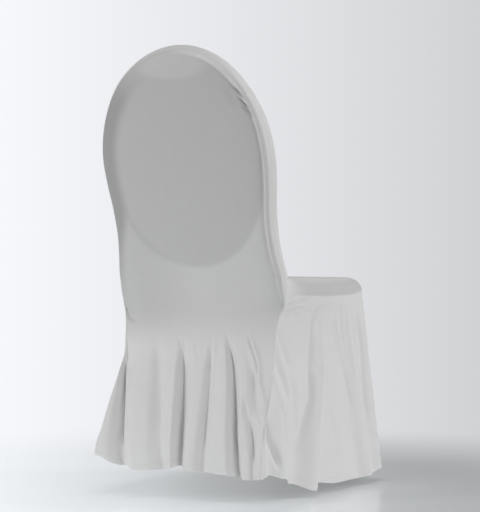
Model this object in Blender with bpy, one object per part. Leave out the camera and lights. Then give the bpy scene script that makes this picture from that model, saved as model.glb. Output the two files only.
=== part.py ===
"""Fitted cover of white stretch knit for a round-topped banquet chair, as it hangs on the chair.

Five cut pieces are sewn edge to edge: the back panel, the side band round the hood, the inside
back, the seat panel and one long skirt.  Each is a sheet of even thickness, built on a grid of
points that follows its own seams and folds.  Heights below are millimetres above the floor and
the chair faces -Y, with the middle of its rear feet at X = 0, Y = 0.  The finished cover is
moved so that its origin is the point under the top of the hood where the chair's back holds it.
"""
from collections import namedtuple

import bmesh
import bpy
import numpy as np

MM = 0.001

# Cloth and sewing
THICKNESS = 2.0
SEAM_GAP = 0.3
MITRE_LEAST = 0.6

# Hood: the upper part of its outline is half an ellipse
ARCH_CENTRE = 700.0
ARCH_HALF_WIDTH = 194.5
ARCH_HEIGHT = 240.0
BAND_BULGE_SIDE = 3.0
BAND_BULGE_TOP = 12.0
BAND_BULGE_LENGTH = 60.0
BAND_FULL_DEPTH = 30.0
BAND_COLUMNS = (0.0, 0.2, 0.5, 0.8, 1.0)
ARCH_CORNER = 42.0
FRONT_CROWN = 12.0
CROWN_POWER = 8.0
SKIRT_CROWN_POWER = 2.5
CROWN_CHANGE_FROM = 300.0
CROWN_CHANGE_LENGTH = 90.0
MIDDLE_SMOOTHING = (-30.0, -18.0, -6.0, 6.0, 18.0, 30.0)

# The direction that sorts a seam's points from low to high, tilted so that none are level
WALL_ORDER = np.array([0.13, 0.31, 1.0])

# Levels: the waist tips of the side band, the seat and the fold lines
WAIST = 400.0
TIP_RISE = 2.0
SEAT_TOP = 454.0
BACK_FOLD_LEVELS = (345.0, 205.0, 60.0)
SIDE_FOLD_LEVELS = (395.0, 215.0, 20.0)
BACK_FOLD_FLOOR = 60.0
SIDE_FOLD_FLOOR = 20.0
FOLD_START_LENGTH = 85.0

# Seat
SEAT_HALF_WIDTH = 205.0
SEAT_HALF_WIDTH_REAR = 190.0
SEAT_WIDENING_SHARE = 0.6
SEAT_FRONT = -495.0
SEAT_ROLL = 36.0
SEAT_ROLL_GROWTH = 70.0
SEAT_CROWN = 3.0
SEAT_DIP_FRONT = 5.0
SEAT_DIP_SHARE = 0.9
SEAT_CROWN_FADE = 0.5

# Skirt: where its flare starts, and its front corners at the hem
FLARE_TOP = 415.0
HEM_HALF_WIDTH = 236.0
HEM_FRONT = -525.0
CORNER_RADIUS_HEM = 24.0
SIDE_BULGE = 9.0
FRONT_BULGE = 10.0
SEAM_BLEND_POWER = 4

# Grid density: columns from one fold line to the next, and rows of each stretch
PER_FOLD = 3
ROWS_BELOW_WAIST = 12
HOOD_LEVELS = (490.0, 525.0, 565.0, 610.0, 655.0, 700.0)
ARCH_ROWS = 5
SEAT_ROLL_ANGLES = (0.0, 25.0, 50.0, 90.0)
SEAT_COLUMNS = 17

# The cover's section at each height: half width, rear line at the edges, how far the middle of
# the rear face stands behind that line, and the depth of the side band
Section = namedtuple("Section", "height half_width rear crown depth")
SECTIONS = [
    Section(940.0, 194.5, 14.0, 12.0, 42.0),
    Section(870.0, 194.5, 10.0, 12.0, 42.0),
    Section(800.0, 194.5, -4.0, 12.0, 42.0),
    Section(700.0, 194.5, -23.0, 12.0, 42.0),
    Section(650.0, 191.5, -36.0, 12.0, 40.0),
    Section(600.0, 185.5, -49.0, 12.0, 38.0),
    Section(550.0, 183.5, -63.0, 12.0, 36.0),
    Section(500.0, 187.5, -77.0, 12.0, 34.0),
    Section(460.0, 193.0, -90.0, 12.0, 31.0),
    Section(426.0, 192.0, -99.0, 13.0, 20.0),
    Section(400.0, 190.5, -107.0, 16.0, 6.0),
    Section(380.0, 183.0, -101.0, 11.0, 0.0),
    Section(340.0, 177.5, -92.0, 7.0, 0.0),
    Section(300.0, 177.0, -87.0, 6.0, 0.0),
    Section(250.0, 181.5, -66.0, 0.0, 0.0),
    Section(200.0, 185.0, -38.0, -6.0, 0.0),
    Section(140.0, 189.5, -9.0, -10.0, 0.0),
    Section(100.0, 195.0, 7.0, -10.0, 0.0),
    Section(50.0, 196.0, 13.0, -10.0, 0.0),
]

# Folds: where each crest or valley lies along its panel at three levels (0 to 1), how far it
# stands out at the hem, the height at which it starts, how fast it grows and its hem's height
Fold = namedtuple("Fold", "name top mid hem out start growth hem_height")
BACK_FOLDS = [
    Fold("left corner seam", 0.000, 0.000, 0.000, 0.0, 350.0, 1.0, 84.0),
    Fold("left flap valley", 0.012, 0.045, 0.150, -24.0, 345.0, 1.7, 62.0),
    Fold("left broad crest", 0.100, 0.175, 0.245, 9.0, 350.0, 1.5, 57.0),
    Fold("soft valley", 0.190, 0.296, 0.400, -8.0, 350.0, 1.5, 59.0),
    Fold("second crest", 0.310, 0.385, 0.450, 8.0, 350.0, 1.5, 63.0),
    Fold("deep middle valley", 0.372, 0.438, 0.490, -18.0, 348.0, 1.8, 68.0),
    Fold("third crest", 0.480, 0.530, 0.558, 6.0, 346.0, 1.5, 60.0),
    Fold("third valley", 0.578, 0.612, 0.630, -11.0, 344.0, 1.5, 58.0),
    Fold("fourth crest", 0.645, 0.725, 0.775, 9.0, 350.0, 1.6, 57.0),
    Fold("deep right valley", 0.700, 0.768, 0.840, -19.0, 348.0, 1.8, 53.0),
    Fold("small crest", 0.755, 0.832, 0.893, -2.0, 300.0, 1.5, 48.0),
    Fold("right valley", 0.800, 0.885, 0.940, -10.0, 350.0, 1.6, 48.0),
    Fold("slanting ridge", 0.850, 0.945, 0.975, 0.0, 350.0, 2.2, 50.0),
    Fold("right corner seam", 1.000, 1.000, 1.000, 0.0, 350.0, 1.0, 51.0),
]
RIGHT_FOLDS = [
    Fold("seam tip", 0.015, 0.006, 0.006, 0.0, 390.0, 1.0, 51.0),
    Fold("seam crest", 0.040, 0.014, 0.038, 3.0, 230.0, 1.0, 55.0),
    Fold("seam valley", 0.080, 0.036, 0.100, -10.0, 225.0, 1.4, 56.0),
    Fold("corner crest", 0.160, 0.150, 0.160, 4.0, 300.0, 1.2, 46.0),
    Fold("domed valley", 0.320, 0.330, 0.215, -6.0, 398.0, 1.6, 32.0),
    Fold("lobe crest", 0.480, 0.430, 0.345, 19.0, 396.0, 1.2, 13.0),
    Fold("lobe valley", 0.560, 0.500, 0.415, 1.0, 390.0, 1.2, 25.0),
    Fold("middle crest", 0.630, 0.610, 0.560, 4.0, 396.0, 1.2, 18.0),
    Fold("front valley", 0.700, 0.740, 0.790, -5.0, 398.0, 2.0, 17.0),
    Fold("front crest", 0.790, 0.830, 0.875, 5.0, 398.0, 1.5, 19.0),
    Fold("corner valley", 0.890, 0.915, 0.945, -6.0, 398.0, 1.5, 22.0),
    Fold("front corner", 1.000, 1.000, 1.000, 0.0, 398.0, 1.0, 28.0),
]
LEFT_FOLDS = [
    Fold("seam tip", 0.015, 0.006, 0.006, 0.0, 390.0, 1.0, 84.0),
    Fold("seam crest", 0.040, 0.020, 0.035, 3.0, 230.0, 1.0, 82.0),
    Fold("seam valley", 0.080, 0.060, 0.090, -8.0, 240.0, 1.4, 76.0),
    Fold("corner crest", 0.150, 0.140, 0.150, 5.0, 300.0, 1.2, 68.0),
    Fold("rear valley", 0.270, 0.262, 0.235, -7.0, 396.0, 1.6, 60.0),
    Fold("rear crest", 0.370, 0.380, 0.365, 14.0, 396.0, 1.2, 50.0),
    Fold("middle valley", 0.440, 0.470, 0.460, -3.0, 390.0, 1.4, 46.0),
    Fold("middle crest", 0.550, 0.570, 0.570, 8.0, 396.0, 1.2, 40.0),
    Fold("front valley", 0.650, 0.690, 0.700, -6.0, 398.0, 1.8, 36.0),
    Fold("front crest", 0.770, 0.790, 0.810, 8.0, 398.0, 1.4, 30.0),
    Fold("corner valley", 0.890, 0.905, 0.920, -6.0, 398.0, 1.5, 28.0),
    Fold("front corner", 1.000, 1.000, 1.000, 0.0, 398.0, 1.0, 27.0),
]
FRONT_FOLDS = [
    Fold("right corner", 0.000, 0.000, 0.000, 0.0, 398.0, 1.0, 28.0),
    Fold("right valley", 0.120, 0.110, 0.100, -7.0, 400.0, 1.5, 24.0),
    Fold("right crest", 0.260, 0.250, 0.235, 10.0, 400.0, 1.3, 18.0),
    Fold("middle right valley", 0.390, 0.380, 0.375, -6.0, 395.0, 1.6, 24.0),
    Fold("middle crest", 0.520, 0.530, 0.540, 9.0, 400.0, 1.2, 17.0),
    Fold("middle left valley", 0.640, 0.655, 0.660, -6.0, 395.0, 1.5, 23.0),
    Fold("left crest", 0.760, 0.770, 0.785, 9.0, 400.0, 1.3, 18.0),
    Fold("left valley", 0.890, 0.900, 0.905, -7.0, 400.0, 1.5, 24.0),
    Fold("left corner", 1.000, 1.000, 1.000, 0.0, 398.0, 1.0, 27.0),
]

# The seat seam's height along the side, from the waist tip (0) to the front corner (1)
SeamPoint = namedtuple("SeamPoint", "along height")
SEAT_SEAM = [
    SeamPoint(0.00, 402.0),
    SeamPoint(0.06, 411.0),
    SeamPoint(0.15, 418.0),
    SeamPoint(0.30, 415.0),
    SeamPoint(0.60, 412.0),
    SeamPoint(0.85, 412.0),
    SeamPoint(1.00, 418.0),
]


def steady_curve(where, knots, values):
    """A smooth curve through the knots that never overshoots (monotone cubic pieces)."""
    order = np.argsort(knots)
    x = np.asarray(knots, float)[order]
    y = np.asarray(values, float)[order]
    step = np.diff(x)
    slope = np.diff(y) / step
    same_way = slope[:-1] * slope[1:] > 0
    safe = np.where(same_way, slope[:-1] + slope[1:], 1.0)
    bend = np.where(same_way, 2.0 * slope[:-1] * slope[1:] / safe, 0.0)
    tangent = np.concatenate([slope[:1], bend, slope[-1:]])
    at = np.clip(where, x[0], x[-1])
    k = np.clip(np.searchsorted(x, at) - 1, 0, len(step) - 1)
    t = (at - x[k]) / step[k]
    start = y[k] * (1 + 2 * t) * (1 - t) ** 2 + tangent[k] * step[k] * t * (1 - t) ** 2
    end = y[k + 1] * t ** 2 * (3 - 2 * t) + tangent[k + 1] * step[k] * t ** 2 * (t - 1)
    return start + end


def section(height, column):
    """One column of the section table, read at any height."""
    knots = [row.height for row in SECTIONS]
    return steady_curve(height, knots, [getattr(row, column) for row in SECTIONS])


def ease(t):
    """0 to 1 with level ends."""
    t = np.clip(t, 0.0, 1.0)
    return t * t * (3 - 2 * t)


def seam_half_width(height):
    """Half width of the hood's seam line: the section's half width or the arch, less the bulge."""
    half = section(height, "half_width") - BAND_BULGE_SIDE * ease((height - WAIST) / BAND_BULGE_LENGTH)
    rise = np.clip((height - ARCH_CENTRE) / (ARCH_HEIGHT - BAND_BULGE_TOP), 0.0, 1.0)
    return half * np.sqrt(1 - rise ** 2)


def rim_nearness(x, height):
    """0 in the middle of the hood's face and 1 on its seam line."""
    across = (x / seam_half_width(np.minimum(height, ARCH_CENTRE))) ** 2
    up = (np.maximum(height - ARCH_CENTRE, 0.0) / (ARCH_HEIGHT - BAND_BULGE_TOP)) ** 2
    return np.sqrt(across + up)


def rear_face(x, height):
    """The taut rear face: the raked rear line at its seams, and in the middle that line plus the
    crown, smoothed over some height.  The two are blended softly in the skirt and sharply in the
    hood."""
    hood = ease((height - CROWN_CHANGE_FROM) / CROWN_CHANGE_LENGTH)
    power = SKIRT_CROWN_POWER + (CROWN_POWER - SKIRT_CROWN_POWER) * hood
    fall = np.clip(rim_nearness(x, height), 0.0, 1.0) ** power
    levels = [height + step for step in MIDDLE_SMOOTHING]
    middle = sum(section(h, "rear") + section(h, "crown") for h in levels) / len(levels)
    return section(height, "rear") * fall + middle * (1 - fall)


def front_face(x, height):
    """The hood's front face: the rear seam's line moved forward by the band, and padded."""
    fall = np.clip(rim_nearness(x, height), 0.0, 1.0) ** CROWN_POWER
    return section(height, "rear") - section(height, "depth") - FRONT_CROWN * (1 - fall)


def fold_places(folds, column, height, levels):
    """Place along the panel of the grid column (in folds) at a height: a parabola through
    the three levels of the table, held above the top level."""
    index = np.arange(len(folds))
    top, mid, hem = (np.interp(column, index, [getattr(f, name) for f in folds])
                     for name in ("top", "mid", "hem"))
    a, b, c = levels
    h = np.minimum(height, a)
    return (top * (h - b) * (h - c) / ((a - b) * (a - c))
            + mid * (h - a) * (h - c) / ((b - a) * (b - c))
            + hem * (h - a) * (h - b) / ((c - a) * (c - b)))


def wave(values, column):
    """From crest to valley and back through the table's values, level at each of them."""
    low = np.clip(np.floor(column).astype(int), 0, len(values) - 2)
    t = (1 - np.cos(np.pi * (column - low))) / 2
    values = np.asarray(values, float)
    return values[low] * (1 - t) + values[low + 1] * t


def fold_depth(folds, column, height, floor):
    """How far the cloth stands out at a grid column and height."""
    grown = []
    for fold in folds:
        t = np.clip((fold.start - height) / (fold.start - floor), 0.0, 1.0)
        size = (1 - (1 - t) ** fold.growth) * ease((fold.start - height) / FOLD_START_LENGTH)
        grown.append(fold.out * size)
    grown = np.array(grown)
    low = np.clip(np.floor(column).astype(int), 0, len(folds) - 2)
    t = (1 - np.cos(np.pi * (column - low))) / 2
    columns = np.arange(len(column))
    return grown[low, :, columns].T * (1 - t) + grown[low + 1, :, columns].T * t


def patch(bottom, top, first, last):
    """A grid inside four edges that meet at its corners (transfinite blending).
    The bottom and top edges run from the first edge to the last, and those from bottom to top."""
    rows, columns = len(first), len(bottom)
    u = np.linspace(0.0, 1.0, columns)[None, :, None]
    v = np.linspace(0.0, 1.0, rows)[:, None, None]
    across = first[:, None] * (1 - u) + last[:, None] * u
    along = bottom[None] * (1 - v) + top[None] * v
    corners = ((bottom[0] * (1 - u) + bottom[-1] * u) * (1 - v)
               + (top[0] * (1 - u) + top[-1] * u) * v)
    return across + along - corners


def arch_line(count, start, end):
    """Points (x, height) of the hood's seam between two angles, 0 on the right, 180 on the left."""
    angle = np.radians(np.linspace(start, end, count))
    x = -(ARCH_HALF_WIDTH - BAND_BULGE_SIDE) * np.cos(angle)
    return np.stack([x, ARCH_CENTRE + (ARCH_HEIGHT - BAND_BULGE_TOP) * np.sin(angle)], 1)


def seat_tip_levels():
    """Heights of the band's lowest stations, from its tip to the seat's top."""
    low = WAIST + TIP_RISE
    return low + (SEAT_TOP - low) * np.sin(np.radians(SEAT_ROLL_ANGLES))


def back_columns():
    return np.linspace(0.0, len(BACK_FOLDS) - 1, PER_FOLD * (len(BACK_FOLDS) - 1) + 1)


def back_panel():
    """Rows from the hem to the top, columns from the left edge to the right one."""
    column = back_columns()
    hem = wave([fold.hem_height for fold in BACK_FOLDS], column)
    share = np.linspace(0.0, 1.0, ROWS_BELOW_WAIST + 1)[:, None]
    skirt = hem[None] * (1 - share) + WAIST * share
    hood_levels = np.concatenate([seat_tip_levels()[1:], HOOD_LEVELS])
    height = np.concatenate([skirt, np.repeat(hood_levels[:, None], len(column), 1)])
    place = fold_places(BACK_FOLDS, column[None], height, BACK_FOLD_LEVELS)
    even = np.linspace(0.0, 1.0, len(column))[None]
    spread = ease((height - WAIST) / (ARCH_CENTRE - WAIST))
    place = place * (1 - spread) + even * spread
    half = np.where(height > WAIST, seam_half_width(height), section(height, "half_width"))
    x = half * (1 - 2 * place)
    lower = np.stack([x, height], 2)
    right = arch_line(ARCH_ROWS + 1, 0.0, ARCH_CORNER)
    left = arch_line(ARCH_ROWS + 1, 180.0, 180.0 - ARCH_CORNER)
    top = arch_line(len(column), 180.0 - ARCH_CORNER, ARCH_CORNER)
    upper = patch(lower[-1], top, left, right)
    flat = np.concatenate([lower, upper[1:]])
    x, height = flat[..., 0], flat[..., 1]
    out = np.zeros_like(x)
    rows = len(skirt)
    out[:rows] = fold_depth(BACK_FOLDS, column, height[:rows], BACK_FOLD_FLOOR)
    return np.stack([x, rear_face(x, height) + out, height], 2)


def right_seam_stations(back):
    """The right-hand edge of the back panel from the waist up, then over the top to the left
    waist: the side band's rear edge."""
    first = ROWS_BELOW_WAIST
    right = back[first:-1, -1]
    top = back[-1, ::-1]
    left = back[first:-1, 0][::-1]
    return np.concatenate([right, top, left])


def side_band(back):
    """Rows along the band from the right tip over the top to the left tip, columns from the
    rear seam to the front seam, bulging between them."""
    rear = right_seam_stations(back)
    tangent = np.gradient(rear, axis=0)
    outward = np.stack([-tangent[:, 2], np.zeros(len(rear)), tangent[:, 0]], 1)
    outward /= np.linalg.norm(outward, axis=1)[:, None]
    front = rear.copy()
    front[0, 2] += TIP_RISE
    front[-1, 2] += TIP_RISE
    depth = section(front[:, 2], "depth")
    front[:, 1] = section(front[:, 2], "rear") - depth
    rise = np.clip((rear[:, 2] - ARCH_CENTRE) / ARCH_HEIGHT, 0.0, 1.0)
    bulge = BAND_BULGE_SIDE + (BAND_BULGE_TOP - BAND_BULGE_SIDE) * rise ** 2
    bulge = bulge * ease(depth / BAND_FULL_DEPTH)
    t = np.array(BAND_COLUMNS)[None, :, None]
    swell = np.sqrt(1 - (2 * t - 1) ** 2)
    return rear[:, None] * (1 - t) + front[:, None] * t + outward[:, None] * bulge[:, None, None] * swell


def seat_rear_line(band):
    """The seat panel's rear edge: up the band's front edge, across under the inside back and
    down again on the left."""
    climb = len(SEAT_ROLL_ANGLES)
    right = band[:climb, -1]
    left = band[-climb:, -1]
    x = np.linspace(right[-1, 0], left[0, 0], SEAT_COLUMNS + 1)[1:-1]
    height = SEAT_TOP + SEAT_CROWN * (1 - (x / SEAT_HALF_WIDTH) ** 2)
    across = np.stack([x, front_face(x, height), height], 1)
    return np.concatenate([right, across, left])


def seat_side_places():
    """Places along the seat's side where the skirt's fold lines reach it, tip first."""
    column = np.linspace(0.0, len(RIGHT_FOLDS) - 1, 2 * (len(RIGHT_FOLDS) - 1) + 1)
    return np.interp(column, np.arange(len(RIGHT_FOLDS)), [fold.top for fold in RIGHT_FOLDS])


def seat_panel(rear_line):
    """Rows from the rear line to the front seam, columns from right to left.  The edges roll
    over as quarter ellipses, and the two front corners as part of a ball."""
    place = seat_side_places()
    place = (place - place[0]) / (place[-1] - place[0])
    angles = np.radians(SEAT_ROLL_ANGLES)
    roll = np.cos(angles)
    middle = np.linspace(-1.0, 1.0, SEAT_COLUMNS + 1)[1:-1]
    side = np.concatenate([-roll, np.zeros(len(middle)), roll[::-1]])
    core = np.concatenate([-np.ones(len(roll)), middle, np.ones(len(roll))])
    front = np.concatenate([np.zeros(len(place)), roll[::-1][1:]])
    share = np.concatenate([place, np.ones(len(roll) - 1)])
    start_y = rear_line[:, 1]
    y_core = start_y[None] + (SEAT_FRONT + SEAT_ROLL - start_y[None]) * share[:, None]
    along = share[:, None] * np.ones_like(y_core)
    reach = np.abs(y_core - start_y[None])
    radius = SEAT_ROLL * ease(reach / SEAT_ROLL_GROWTH)
    widening = ease(along / SEAT_WIDENING_SHARE)
    half = SEAT_HALF_WIDTH_REAR + (SEAT_HALF_WIDTH - SEAT_HALF_WIDTH_REAR) * widening
    a, b = side[None], front[:, None]
    x = core[None] * (half - radius) + radius * a * np.sqrt(1 - b ** 2 / 2)
    y = y_core - SEAT_ROLL * b * np.sqrt(1 - a ** 2 / 2)
    up = np.sqrt(np.clip(1 - a ** 2 - b ** 2 + a ** 2 * b ** 2, 0.0, 1.0))
    seam = steady_curve(along, [p.along for p in SEAT_SEAM], [p.height for p in SEAT_SEAM])
    top = SEAT_TOP - SEAT_DIP_FRONT * ease(along / SEAT_DIP_SHARE)
    crown = SEAT_CROWN * (1 - (x / SEAT_HALF_WIDTH) ** 2) * ease((1.0 - along) / SEAT_CROWN_FADE)
    grid = np.stack([x, y, seam + (top + crown - seam) * up], 2)
    grid[0] = rear_line
    return grid


def inside_back_panel(band, rear_line):
    """The hood's front face: rows from the seat to the top, columns from right to left."""
    climb = len(SEAT_ROLL_ANGLES) - 1
    edge = band[climb:len(band) - climb, -1]
    bottom = rear_line[climb:len(rear_line) - climb]
    rows = (len(edge) - SEAT_COLUMNS - 1) // 2
    right = edge[:rows + 1]
    left = edge[len(edge) - rows - 1:][::-1]
    top = edge[rows:len(edge) - rows]
    plan = [0, 2]
    flat = patch(bottom[:, plan], top[:, plan], right[:, plan], left[:, plan])
    x, height = flat[..., 0], flat[..., 1]
    grid = np.stack([x, front_face(x, height), height], 2)
    grid[0], grid[-1], grid[:, 0], grid[:, -1] = bottom, top, right, left
    return grid


def skirt_front(height):
    """The unfolded skirt's front corner at a height: its half width, its front line, its
    radius, and how far the cloth has dropped from the seat seam (0) to the hem (1)."""
    drop = np.clip((FLARE_TOP - height) / (FLARE_TOP - SIDE_FOLD_FLOOR), 0.0, 1.0)
    front_x = SEAT_HALF_WIDTH + (HEM_HALF_WIDTH - SEAT_HALF_WIDTH) * drop
    front_y = SEAT_FRONT + (HEM_FRONT - SEAT_FRONT) * drop
    radius = SEAT_ROLL + (CORNER_RADIUS_HEM - SEAT_ROLL) * drop
    return front_x, front_y, radius, drop


def skirt(seat, band):
    """Rows from the seat seam to the hem, columns from the right corner seam round the front
    to the left corner seam."""
    tip_right, tip_left = band[0, 0], band[-1, 0]
    roll = len(SEAT_ROLL_ANGLES)
    side_rows = len(seat) - (roll - 1)
    right_edge = seat[:, 0]
    front_edge = seat[-1, 1:-1]
    left_edge = seat[::-1, -1]
    seam = np.concatenate([tip_right[None], right_edge, front_edge, left_edge, tip_left[None]])
    side_column = np.linspace(0.0, len(RIGHT_FOLDS) - 1, side_rows)
    front_count = seat.shape[1] - 2 * (roll - 1)
    front_column = np.linspace(0.0, len(FRONT_FOLDS) - 1, front_count)
    share = np.linspace(0.0, 1.0, ROWS_BELOW_WAIST + 1)[:, None]
    ball = np.cos(np.radians(SEAT_ROLL_ANGLES[-2::-1])) / np.sqrt(2.0)
    corner = np.arcsin(ball)
    corner = np.concatenate([corner, np.pi / 2 - corner[-2::-1]])

    def side(folds, sign):
        hem = wave([fold.hem_height for fold in folds], side_column)
        top = seat[:side_rows, 0 if sign < 0 else -1, 2]
        height = top[None] * (1 - share) + hem[None] * share
        place = fold_places(folds, side_column[None], height, SIDE_FOLD_LEVELS)
        place[:, -1] = 1.0
        rear_x, rear_y = section(height, "half_width"), section(height, "rear")
        front_x, front_y, radius, drop = skirt_front(height)
        out = fold_depth(folds, side_column, height, SIDE_FOLD_FLOOR)
        bulge = SIDE_BULGE * drop * 4 * place * (1 - place)
        x = sign * (rear_x + (front_x - rear_x) * place + bulge + out)
        y = rear_y + (front_y + radius - rear_y) * place
        return np.stack([x, y, height], 2)

    def front_corner(sign, hem_height):
        height = (seat[-1, 0, 2] * (1 - share) + hem_height * share) * np.ones((1, len(corner)))
        front_x, front_y, radius, _ = skirt_front(height)
        x = sign * (front_x - radius + radius * np.cos(corner)[None])
        y = front_y + radius - radius * np.sin(corner)[None]
        return np.stack([x, y, height], 2)

    def front():
        hem = wave([fold.hem_height for fold in FRONT_FOLDS], front_column)
        top = seat[-1, roll - 1:seat.shape[1] - roll + 1, 2]
        height = top[None] * (1 - share) + hem[None] * share
        place = fold_places(FRONT_FOLDS, front_column[None], height, SIDE_FOLD_LEVELS)
        front_x, front_y, radius, drop = skirt_front(height)
        out = fold_depth(FRONT_FOLDS, front_column, height, SIDE_FOLD_FLOOR)
        x = (front_x - radius) * (2 * place - 1)
        y = front_y - out - FRONT_BULGE * drop * 4 * place * (1 - place)
        return np.stack([x, y, height], 2)

    def corner_seam(tip, sign, hem_height):
        height = tip[2] * (1 - share) + hem_height * share
        x = sign * section(height, "half_width")
        return np.stack([x, section(height, "rear"), height], 2)

    grid = np.concatenate([
        corner_seam(tip_right, -1, BACK_FOLDS[-1].hem_height),
        side(RIGHT_FOLDS, -1),
        front_corner(-1, RIGHT_FOLDS[-1].hem_height),
        front(),
        front_corner(1, LEFT_FOLDS[-1].hem_height)[:, ::-1],
        side(LEFT_FOLDS, 1)[:, ::-1],
        corner_seam(tip_left, 1, BACK_FOLDS[0].hem_height),
    ], 1)
    blend = (1 - share[..., None]) ** SEAM_BLEND_POWER
    return grid + (seam[None] - grid[:1]) * blend


def sheet(name, grid, facing, sewn, colour):
    """What one cut piece needs: its grid, the side it shows, its sewn edges and its colour.
    A point's direction is the mean of the cells round it, each the cross of its diagonals."""
    cell = np.cross(grid[1:, 1:] - grid[:-1, :-1], grid[:-1, 1:] - grid[1:, :-1]) * facing
    normal = np.zeros_like(grid)
    for row in (slice(None, -1), slice(1, None)):
        for column in (slice(None, -1), slice(1, None)):
            normal[row, column] += cell
    normal /= np.linalg.norm(normal, axis=2)[..., None]
    return {"name": name, "grid": grid, "normal": normal, "sewn": sewn, "colour": colour}


def rim_index(shape):
    """The grid's border points, as row and column numbers."""
    rim = np.ones(shape, bool)
    rim[1:-1, 1:-1] = False
    return np.nonzero(rim)


def share_seam_normals(sheets):
    """Where pieces meet, each border point gets the mean of their directions, so that their
    cut walls are parallel and the seam is a mitre."""
    rims = [rim_index(s["grid"].shape[:2]) for s in sheets]
    points = np.concatenate([s["grid"][rim] for s, rim in zip(sheets, rims)])
    normals = np.concatenate([s["normal"][rim] for s, rim in zip(sheets, rims)])
    _, group = np.unique(np.round(points, 3), axis=0, return_inverse=True)
    total = np.zeros((group.max() + 1, 3))
    np.add.at(total, group.ravel(), normals)
    total /= np.linalg.norm(total, axis=1)[:, None]
    shared = total[group.ravel()]
    mitre = 1.0 / np.maximum(np.sum(shared * normals, axis=1), MITRE_LEAST)
    start = 0
    for s, rim in zip(sheets, rims):
        end = start + len(rim[0])
        s["offset"] = s["normal"] * THICKNESS / 2
        s["offset"][rim] = shared[start:end] * mitre[start:end, None] * THICKNESS / 2
        s["shared"] = s["normal"].copy()
        s["shared"][rim] = shared[start:end]
        start = end


def draw_back_seams(s):
    """Each sewn edge drawn back by half the seam's gap, within the cloth."""
    grid, shared = s["grid"], s["shared"]
    moved = grid.copy()
    edges = {"first_row": (0, slice(None)), "last_row": (-1, slice(None)),
             "first_column": (slice(None), 0), "last_column": (slice(None), -1)}
    inner = {"first_row": (1, slice(None)), "last_row": (-2, slice(None)),
             "first_column": (slice(None), 1), "last_column": (slice(None), -2)}
    for edge in s["sewn"]:
        line = grid[edges[edge]]
        inward = np.cross(shared[edges[edge]], np.gradient(line, axis=0))
        inward /= np.linalg.norm(inward, axis=1)[:, None]
        side = np.sign(np.sum(inward * (grid[inner[edge]] - line), axis=1).mean())
        moved[edges[edge]] += inward * side * SEAM_GAP / 2
    return moved


def build(s, parent):
    """The closed solid of one cut piece: its outer and inner faces and the walls of its edges.
    A wall's diagonals run from its low points up, so that two walls at a seam bend alike."""
    middle = draw_back_seams(s)
    rows, columns = middle.shape[:2]
    outer = (middle + s["offset"]).reshape(-1, 3)
    inner = (middle - s["offset"]).reshape(-1, 3)
    index = np.arange(rows * columns).reshape(rows, columns)
    cell = np.stack([index[:-1, :-1], index[1:, :-1], index[1:, 1:], index[:-1, 1:]], 2)
    cell = cell.reshape(-1, 4)
    rim = np.concatenate([index[0, :-1], index[:-1, -1], index[-1, :0:-1], index[:0:-1, 0]])
    height = s["grid"].reshape(-1, 3) @ WALL_ORDER
    ends = np.stack([rim, np.roll(rim, -1)], 1)
    low, high = np.take_along_axis(ends, np.argsort(height[ends], axis=1), 1).T
    under = rows * columns
    wall = np.concatenate([np.stack([low, high + under, high], 1),
                           np.stack([low, low + under, high + under], 1)])
    faces = cell.tolist() + (cell[:, ::-1] + under).tolist() + wall.tolist()
    mesh = bpy.data.meshes.new(s["name"])
    mesh.from_pydata((np.concatenate([outer, inner]) * MM).tolist(), [], faces)
    shell = bmesh.new()
    shell.from_mesh(mesh)
    bmesh.ops.recalc_face_normals(shell, faces=shell.faces)
    shell.to_mesh(mesh)
    shell.free()
    mesh.shade_smooth()
    mesh.set_sharp_from_angle(angle=np.radians(50.0))
    mesh.materials.append(knit_material(s["name"] + "_knit", s["colour"]))
    piece = bpy.data.objects.new(s["name"], mesh)
    bpy.context.collection.objects.link(piece)
    piece.parent = parent
    return piece


def knit_material(name, colour):
    """White polyester and elastane knit: matt, with a soft sheen."""
    material = bpy.data.materials.new(name)
    material.use_nodes = True
    shader = material.node_tree.nodes["Principled BSDF"]
    shader.inputs["Base Color"].default_value = (*colour, 1.0)
    shader.inputs["Roughness"].default_value = 0.75
    shader.inputs["Metallic"].default_value = 0.0
    shader.inputs["Sheen Weight"].default_value = 0.2
    return material


def main():
    for old in list(bpy.data.objects):
        bpy.data.objects.remove(old, do_unlink=True)
    crest = ARCH_CENTRE + ARCH_HEIGHT
    crest_y = section(crest, "rear") - section(crest, "depth") / 2
    hook = bpy.data.objects.new("chair_back_holds_here", None)
    hook.location = (0.0, -crest_y * MM, -(crest - THICKNESS / 2) * MM)
    bpy.context.collection.objects.link(hook)

    back = back_panel()
    band = side_band(back)
    rear_line = seat_rear_line(band)
    seat = seat_panel(rear_line)
    inside = inside_back_panel(band, rear_line)
    around = skirt(seat, band)
    rows = ["first_row", "last_row"]
    columns = ["first_column", "last_column"]
    sheets = [
        sheet("back_panel", back, -1, ["last_row"] + columns, (0.42, 0.42, 0.42)),
        sheet("side_band", band, -1, rows + columns, (0.56, 0.56, 0.56)),
        sheet("inside_back_panel", inside, -1, rows + columns, (0.45, 0.45, 0.45)),
        sheet("seat_panel", seat, 1, rows + columns, (0.47, 0.47, 0.48)),
        sheet("skirt", around, 1, ["first_row"] + columns, (0.58, 0.58, 0.58)),
    ]
    share_seam_normals(sheets)
    for piece in sheets:
        build(piece, hook)


main()
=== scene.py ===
"""Fitted cover of white stretch knit for a round-topped banquet chair, seen from behind in a pale
studio.  Five cut pieces are sewn edge to edge: back panel, side band, inside back, seat panel and
skirt.  Heights are millimetres above the floor and the cover faces -Y.  Each finished grid is moved
to the frame, whose origin is the point under the hood's top that carries the cover.
"""
from collections import namedtuple

import bpy
import numpy as np
from mathutils import Matrix, Vector


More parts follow.
